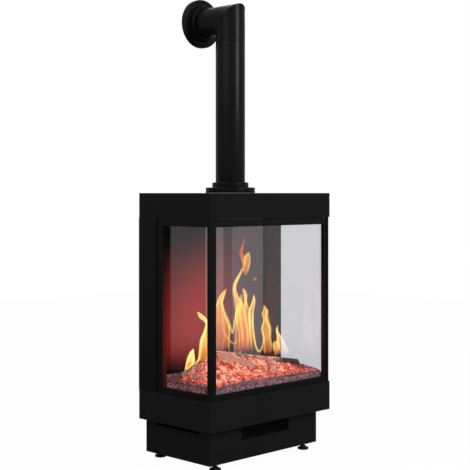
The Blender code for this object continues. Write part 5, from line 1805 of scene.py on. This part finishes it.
@dataclass
class LogSet:
    """Charred logs on the bed."""

    sides: int = 56
    rings_per_metre: int = 330
    fewest_rings: int = 24
    taper: float = 0.12
    wave: float = 0.05
    waves: float = 9.0
    bend: float = 0.18
    end_loss: float = 0.004
    furrow_depth: float = 0.0048
    knot_depth: float = 0.0034
    split_angle: float = math.radians(155)
    bands: tuple[float, ...] = (0.72, 0.42, 0.16)

    def build(self) -> None:
        """Builds every log in its node's place."""
        for line in LOG_LINES:
            self.make_log(line)

    def make_log(self, line: LogLine) -> None:
        """Builds one log with bark, furrows and broken ends.

        Args:
            line: where it lies.
        """
        length = line.run.length
        count = max(self.fewest_rings, round(length * self.rings_per_metre))
        bm = bmesh.new()
        layers = number_layers(bm, "around", "along", "warmth", "cut")
        rings = []
        for ring in range(count + 1):
            share = ring / count
            reach = line.radius * (1 - self.taper * share + self.wave * math.sin(self.waves * share))
            bend = line.radius * self.bend * math.sin(math.pi * share)
            loss = self.end_loss * (1 - eased(min(share, 1 - share) * length / 0.006)) ** 2
            points = []
            for step, (x, y) in enumerate(directions(self.sides)):
                whole = reach - self.relief(line, x, y, share * length) - loss
                radius = self.split_face(line, x, y, whole, reach)
                place = (bend + radius * x, radius * y, length * share)
                numbers = {"around": step / self.sides, "along": length * share / 0.1}
                numbers |= {"warmth": self.heat(line, share, reach - radius), "cut": float(radius < whole)}
                points.append(marked(bm, place, layers, **numbers))
            rings.append(points)
        skin(bm, rings)
        self.close_end(bm, rings[0], 1.0, layers, line)
        self.close_end(bm, rings[-1], -1.0, layers, line)
        turn = Matrix.Translation(line.start) @ line.run.to_track_quat("Z", "Y").to_matrix().to_4x4()
        bmesh.ops.transform(bm, matrix=turn, verts=bm.verts)
        finish = Bark(seed=float(line.seed), cut_glow=line.cut_glow).make(line.node)
        attach(mesh_piece(line.node + "_charred", bm, finish, 50.0), Body.CASING.value, "log", line.node)

    def relief(self, line: LogLine, x: float, y: float, along: float) -> float:
        """How far the bark falls back at a place.

        Args:
            line: the log.
            x: cosine of the direction from the axis.
            y: its sine.
            along: metres from the log's start.

        Returns:
            The depth in metres.
        """
        furrow = abs(noise.noise(Vector((x * 2.3, y * 2.3, along * 16 + line.seed)) * 1.9))
        knot = noise.noise(Vector((x * 0.9, y * 0.9, along * 9 + line.seed)))
        return self.furrow_depth * (1 - min(1.0, furrow * 3.0)) + self.knot_depth * max(0.0, knot)

    def split_face(self, line: LogLine, x: float, y: float, radius: float, reach: float) -> float:
        """Flattens the side that was split off.

        Args:
            line: the log.
            x: cosine of the direction from the axis.
            y: its sine.
            radius: the radius before.
            reach: the log's own radius here.

        Returns:
            The radius after.
        """
        facing = x * math.cos(self.split_angle) + y * math.sin(self.split_angle)
        if not line.split or facing < line.split:
            return radius
        return min(radius, reach * line.split / facing - 0.0006)

    def heat(self, line: LogLine, share: float, depth: float) -> float:
        """Warmth of the bark at a place.

        Args:
            line: the log.
            share: share along the log.
            depth: how far the bark falls back there.

        Returns:
            The warmth, from 0 to 1.
        """
        middle = 0.75 + 0.25 * math.sin(math.pi * share)
        tail = 1 - line.cool_end * eased((share - 0.70) / 0.16)
        return clamped((line.heat * middle + 0.30 * depth / 0.006) * tail)

    def close_end(self, bm: Mesh, ring: Verts, sign: float, layers: dict[str, Any], line: LogLine) -> None:
        """Closes a log with a broken end grain.

        Args:
            bm: the log's mesh.
            ring: its last ring.
            sign: +1 if the log lies above the end, -1 if below.
            layers: the mesh's number layers.
            line: the log.
        """
        centre = sum((vert.co for vert in ring), Vector()) / len(ring)
        rings = [ring]
        for band in self.bands:
            inner = []
            for step, vert in enumerate(ring):
                point = centre.lerp(vert.co, band)
                dent = noise.noise(Vector((step * 0.6, band * 5, line.seed)))
                point.z += sign * (0.0008 + 0.0012 * dent)
                numbers = {"around": step / self.sides, "along": 2.0 + band * 2}
                inner.append(marked(bm, point, layers, **numbers, warmth=line.heat * 0.8, cut=1.0))
            rings.append(inner)
        skin(bm, rings)
        bm.faces.new(rings[-1])


# Flames


@dataclass(frozen=True)
class PhotoView:
    """Where a point of the photograph's enlarged fire lies, if its depth in the chamber is known.

    Columns and rows of the flames are counted in pixels of the enlargement, and the rest in pixels of the
    photograph or in metres. The camera stands level on the diagonal of the body's front left corner.
    """

    enlargement: float = 8.044
    crop_column: float = 150.0
    crop_row: float = 215.0
    axis_column: float = 235.0
    horizon_row: float = 193.03
    focal: float = 1108.0
    away: float = 4.4
    aside: float = 0.0977
    eye_level: float = 1.128
    corner: float = -0.366
    slant: float = 0.7071

    def place(self, column: float, row: float, depth: float) -> tuple[float, float]:
        """Turns a point into metres.

        Args:
            column: its column.
            row: its row.
            depth: metres behind the front of the body.

        Returns:
            Its place from left to right, and its height.
        """
        tilt = (self.crop_column + column / self.enlargement - self.axis_column) / self.focal
        sideways = tilt * (self.away + self.slant * depth) + self.slant * depth + self.aside
        x = sideways / (self.slant * (1 - tilt))
        lowered = self.crop_row + row / self.enlargement - self.horizon_row
        z = self.eye_level - lowered * (self.away + self.slant * (x + depth)) / self.focal
        return x + self.corner, z


VIEW = PhotoView()


@dataclass(frozen=True)
class Tongue:
    """One tongue of flame: row, left column and right column of its outline, from base to tip."""

    name: str
    outline: tuple[tuple[int, int, int], ...]
    depth: float = 0.236
    body: float = 0.55
    heat: float = 0.22
    rim: float = 0.55
    base_fade: float = 0.09
    crossing: float = 0.5
    cold: bool = False

    def rows(self) -> list[Place]:
        """Works out the outline in metres, to the millimetre.

        Returns:
            Left edge, right edge and level of each row.
        """
        result = []
        for row, left, right in self.outline:
            near, low = VIEW.place(left, row, self.depth)
            far, high = VIEW.place(right, row, self.depth)
            result.append((round(near, 3), round(far, 3), round((low + high) / 2, 3)))
        return result


@dataclass(frozen=True)
class Stroke:
    """A bright line inside a flame, through points of a column and a row."""

    name: str
    points: tuple[tuple[int, int], ...]
    width: float = 0.0045
    level: float = 0.9
    heat: float = 0.85
    depth: float = 0.236

    def line(self) -> Profile:
        """Gives the line in metres, to the millimetre."""
        places = [VIEW.place(column, row, self.depth) for column, row in self.points]
        return [(round(x, 3), round(z, 3)) for x, z in places]


TONGUES = (
    Tongue(
        "low_left",
        ((1250, 278, 300), (1215, 285, 345), (1180, 292, 368), (1150, 300, 366), (1110, 315, 360),
         (1085, 335, 358), (1070, 345, 352)),
        body=1.25, heat=0.48, base_fade=0.1,
    ),
    Tongue(
        "left",
        ((1190, 355, 462), (1150, 385, 482), (1100, 395, 500), (1050, 400, 508), (1000, 405, 500),
         (950, 425, 495), (900, 440, 490), (870, 446, 482), (845, 430, 470), (825, 402, 455),
         (800, 388, 430), (778, 380, 398)),
        body=1.05, heat=0.42,
    ),
    Tongue(
        "post",
        ((1090, 520, 640), (1020, 500, 640), (950, 490, 645), (900, 485, 640), (850, 490, 625),
         (800, 500, 610), (740, 520, 595), (700, 535, 588), (670, 545, 598), (640, 560, 606),
         (610, 585, 612), (588, 607, 612)),
        body=0.8,
    ),
    Tongue(
        "neck",
        ((1100, 700, 800), (1000, 712, 800), (900, 700, 792), (850, 686, 782), (800, 678, 772),
         (750, 686, 762), (700, 688, 742), (660, 677, 716), (620, 666, 700), (580, 662, 692),
         (540, 674, 700), (500, 692, 718), (460, 713, 738), (425, 732, 752)),
        body=0.7,
    ),
    Tongue(
        "crown",
        ((499, 760, 772), (462, 749, 789), (420, 740, 801), (380, 742, 807), (345, 746, 806),
         (319, 761, 803), (297, 783, 799)),
        body=0.8, heat=0.02, rim=0.25, base_fade=0.25,
    ),
    Tongue(
        "root",
        ((432, 748, 781), (383, 734, 776), (342, 722, 761), (307, 722, 748)),
        body=0.6, heat=-0.16, rim=0.1, base_fade=0.4, crossing=0.0,
    ),
    Tongue(
        "wisp",
        ((352, 716, 736), (310, 707, 746), (270, 720, 752), (230, 735, 753),
         (195, 744, 756), (168, 749, 752)),
        body=0.9, rim=0.1, base_fade=0.3, cold=True,
    ),
    Tongue(
        "heart",
        ((1109, 665, 829), (1008, 673, 824), (917, 678, 817), (844, 681, 812), (789, 683, 807),
         (743, 694, 794), (694, 707, 779), (636, 722, 761)),
        depth=0.240, body=0.75, rim=0.0, base_fade=0.10, crossing=0.0,
    ),
    Tongue(
        "middle",
        ((800, 730, 792), (760, 735, 790), (720, 748, 784), (690, 755, 777), (650, 750, 781),
         (620, 742, 774), (600, 738, 762), (586, 738, 748)),
        body=0.6, base_fade=0.4,
    ),
    Tongue(
        "right_middle",
        ((1080, 805, 862), (1000, 800, 846), (950, 795, 835), (900, 790, 830), (850, 785, 828),
         (800, 785, 829), (760, 788, 836), (730, 800, 843), (700, 812, 847), (670, 820, 846),
         (645, 828, 841), (630, 832, 836)),
        body=0.6,
    ),
    Tongue(
        "right",
        ((1115, 912, 972), (1070, 905, 978), (1020, 905, 968), (980, 902, 962), (940, 893, 966),
         (905, 889, 965), (870, 898, 956), (840, 905, 948), (810, 900, 946), (790, 892, 949),
         (765, 904, 951), (742, 909, 936), (720, 912, 921)),
        body=0.75,
    ),
    Tongue(
        "far_right",
        ((1118, 992, 1116), (1085, 1000, 1106), (1060, 1005, 1090), (1020, 1010, 1074), (980, 1015, 1058),
         (950, 1013, 1043), (920, 1010, 1031), (895, 1017, 1030), (878, 1023, 1027)),
        depth=0.190, body=0.7,
    ),
    Tongue(
        "far_right_low",
        ((1090, 984, 1046), (1050, 985, 1041), (1025, 988, 1036), (1010, 996, 1028)),
        depth=0.190, body=0.9, crossing=0.0,
    ),
)

STROKES = (
    Stroke(
        "hook_left",
        ((290, 1235), (300, 1150), (320, 1105), (343, 1076)),
        width=0.004, level=0.8, heat=1.0,
    ),
    Stroke(
        "link_left",
        ((300, 1225), (345, 1200), (372, 1185), (392, 1150), (400, 1080), (407, 1010), (430, 945),
         (446, 890)),
        width=0.006, level=1.0, heat=0.95,
    ),
    Stroke(
        "arc_post",
        ((560, 900), (600, 960), (640, 1012), (672, 1030), (695, 1005), (705, 930)),
        width=0.004, level=0.7,
    ),
    Stroke(
        "u_post",
        ((600, 760), (622, 840), (642, 900), (656, 940), (668, 900), (674, 830), (688, 760)),
        width=0.006, level=1.1, heat=1.0,
    ),
    Stroke(
        "neck_left",
        ((700, 960), (688, 850), (686, 760), (676, 690), (664, 610), (670, 550), (700, 492), (733, 432)),
        width=0.006, level=0.9, heat=0.9,
    ),
    Stroke(
        "neck_streak",
        ((742, 1080), (738, 960), (722, 840), (716, 760), (722, 690), (712, 640)),
        width=0.007, level=0.9, heat=0.95,
    ),
    Stroke(
        "middle_streak",
        ((770, 1090), (782, 960), (770, 850), (762, 760), (766, 680), (745, 600)),
        width=0.005, level=0.6, heat=0.7,
    ),
    Stroke(
        "right_middle_left",
        ((800, 1060), (796, 960), (790, 860), (788, 790), (806, 730), (822, 680), (834, 640)),
        width=0.005, level=0.8, heat=0.9,
    ),
    Stroke(
        "u_right",
        ((835, 700), (826, 790), (822, 860), (830, 950), (840, 1030), (856, 1078), (874, 1090),
         (890, 1070), (902, 1020), (904, 960), (892, 900), (903, 850)),
        width=0.0055, level=1.1, heat=1.0,
    ),
    Stroke(
        "right_edge",
        ((946, 775), (946, 845), (964, 910), (961, 980), (972, 1040), (994, 1098)),
        width=0.005, level=1.0, heat=0.95,
    ),
    Stroke(
        "right_streak",
        ((935, 1105), (936, 1020), (930, 950), (926, 860), (918, 780)),
        width=0.005, level=0.5, heat=0.6,
    ),
    Stroke(
        "far_edge",
        ((1024, 882), (1014, 930), (1024, 975), (1032, 1040), (1028, 1105)),
        width=0.005, level=1.0, heat=0.95, depth=0.19,
    ),
    Stroke(
        "far_outer",
        ((1040, 955), (1062, 1000), (1085, 1050), (1112, 1108)),
        width=0.005, level=0.9, heat=0.9, depth=0.19,
    ),
    Stroke(
        "post_streak",
        ((588, 1105), (582, 1040), (592, 960), (578, 860), (570, 760)),
        width=0.004, level=0.7, heat=0.8,
    ),
    Stroke(
        "thin_streak",
        ((632, 1108), (628, 1050), (634, 1005)),
        width=0.003, level=0.7, heat=0.8,
    ),
    Stroke(
        "spark",
        ((823, 522), (838, 512), (852, 510)),
        width=0.006, level=1.1, heat=0.35,
    ),
    Stroke(
        "lick",
        ((712, 1142), (716, 1110), (724, 1085)),
        width=0.004, level=0.9, heat=0.8,
    ),
)


@dataclass
class Flames:
    """Sheets of lit mist over the slot in the bed."""

    columns: int = 26
    steps: int = 5
    rim_place: float = 0.0060
    rim_width: float = 0.0075
    soft: float = 0.0050
    bulge: float = 0.006
    narrower: float = 0.62
    stroke_columns: int = 8
    stroke_steps: int = 6
    stroke_width: float = 1.35
    stroke_level: float = 0.80
    stroke_ahead: float = 0.003
    lamp_power: float = 1.5
    lamp_colour: Colour = (1.0, 0.33, 0.16)
    lamp_size: float = 0.04

    def build(self) -> None:
        """Builds every tongue and stroke, and the lamps that stand for their light."""
        self.material = FlameLight().make("flame")
        self.front = front_corner().y
        for tongue in TONGUES:
            bm = bmesh.new()
            layers = number_layers(bm, "cover", "warmth")
            self.sheet(bm, layers, tongue, False)
            if tongue.crossing:
                self.sheet(bm, layers, tongue, True)
            self.finish(tongue.name, bm)
        bm = bmesh.new()
        layers = number_layers(bm, "cover", "warmth")
        for stroke in STROKES:
            self.ribbon(bm, layers, stroke)
        self.finish("strokes", bm)
        self.lamp("fire_left", (-0.16, -0.02, 0.54))
        self.lamp("fire_right", (0.12, -0.04, 0.52))

    def finish(self, name: str, bm: Mesh) -> None:
        """Turns a flame's mesh into its piece."""
        attach(mesh_piece(f"flame_{name}", bm, self.material, 180.0), Body.CASING.value, "lamp")

    def look(self, tongue: Tongue, inside: float, share: float) -> tuple[float, float]:
        """Density and heat at a place in a tongue.

        Args:
            tongue: the tongue.
            inside: metres from the nearer edge.
            share: share from base to tip.

        Returns:
            The density and the heat.
        """
        rim = math.exp(-(((inside - self.rim_place) / self.rim_width) ** 2))
        fade = eased(share / tongue.base_fade) * (1 - 0.25 * eased((share - 0.8) / 0.2))
        fill = 0.62 + 0.38 * eased(share / 0.55)
        density = eased(inside / self.soft) * fade * (tongue.body * fill + tongue.rim * rim)
        if tongue.cold:
            return density, 0.10
        heat = tongue.heat + 0.34 * eased(share / 0.45) + 0.38 * rim
        return density, heat - 0.22 * eased((share - 0.75) / 0.25)

    def sheet(self, bm: Mesh, layers: dict[str, Any], tongue: Tongue, crossing: bool) -> None:
        """Adds one curved sheet of a tongue.

        Args:
            bm: the tongue's mesh.
            layers: its number layers.
            tongue: its shape.
            crossing: whether the sheet is the narrower one that stands across the front.
        """
        rows = curve_through(tongue.rows(), self.steps)
        depth = self.front + tongue.depth
        rings = []
        for index, (left, right, level) in enumerate(rows):
            share = index / (len(rows) - 1)
            half, middle = (right - left) / 2, (left + right) / 2
            points = []
            for column in range(self.columns + 1):
                along = -math.cos(math.pi * column / self.columns)
                density, heat = self.look(tongue, (1 - abs(along)) * half, share)
                swell = self.bulge * (1 - along * along) * math.sin(5 * share + middle * 20)
                place = (middle + along * half, depth + swell, level)
                if crossing:
                    place = (middle + swell * 0.6, depth + along * half * self.narrower, level)
                    density *= tongue.crossing * 0.6
                points.append(marked(bm, place, layers, cover=density, warmth=heat))
            rings.append(points)
        skin(bm, rings, closed=False)

    def ribbon(self, bm: Mesh, layers: dict[str, Any], stroke: Stroke) -> None:
        """Adds a bright line as a soft ribbon.

        Args:
            bm: the strokes' mesh.
            layers: its number layers.
            stroke: its shape.
        """
        points = curve_through(stroke.line(), self.stroke_steps)
        last = len(points) - 1
        deep = self.front + stroke.depth - self.stroke_ahead
        rings = []
        for index, (x, z) in enumerate(points):
            before, after = points[max(0, index - 1)], points[min(last, index + 1)]
            way = Vector((after[0] - before[0], after[1] - before[1])).normalized()
            share = index / last
            taper = min(1.0, eased(share / 0.2), eased((1 - share) / 0.25))
            width = stroke.width * self.stroke_width * (0.45 + 0.55 * taper)
            ring = []
            for column in range(self.stroke_columns + 1):
                along = 2 * column / self.stroke_columns - 1
                place = (x - way.y * along * width, deep, z + way.x * along * width)
                cover = stroke.level * self.stroke_level * taper * (1 - along * along) ** 1.5
                ring.append(marked(bm, place, layers, cover=cover, warmth=stroke.heat))
            rings.append(ring)
        skin(bm, rings, closed=False)

    def lamp(self, name: str, place: Place) -> None:
        """Warm lamp inside the chamber that lights logs, stones and reveals.

        Args:
            name: the lamp's name.
            place: where it hangs.
        """
        data = bpy.data.lights.new(name, "POINT")
        data.energy = self.lamp_power
        data.color = self.lamp_colour
        data.shadow_soft_size = self.lamp_size
        lamp = shown(name, data, place)
        lamp.visible_camera = lamp.visible_glossy = lamp.visible_transmission = False


def main() -> None:
    """Builds the looks in order and reports each piece."""
    logging.basicConfig(level=logging.INFO, format="%(message)s")
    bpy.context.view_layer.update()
    Studio().build()
    dressing = Dressing()
    dressing.build()
    Flue().build(dressing.material("flue"))
    SmallParts(dressing).build()
    FireBed().build()
    LogSet().build()
    Flames().build()


if __name__ == "__main__":
    main()
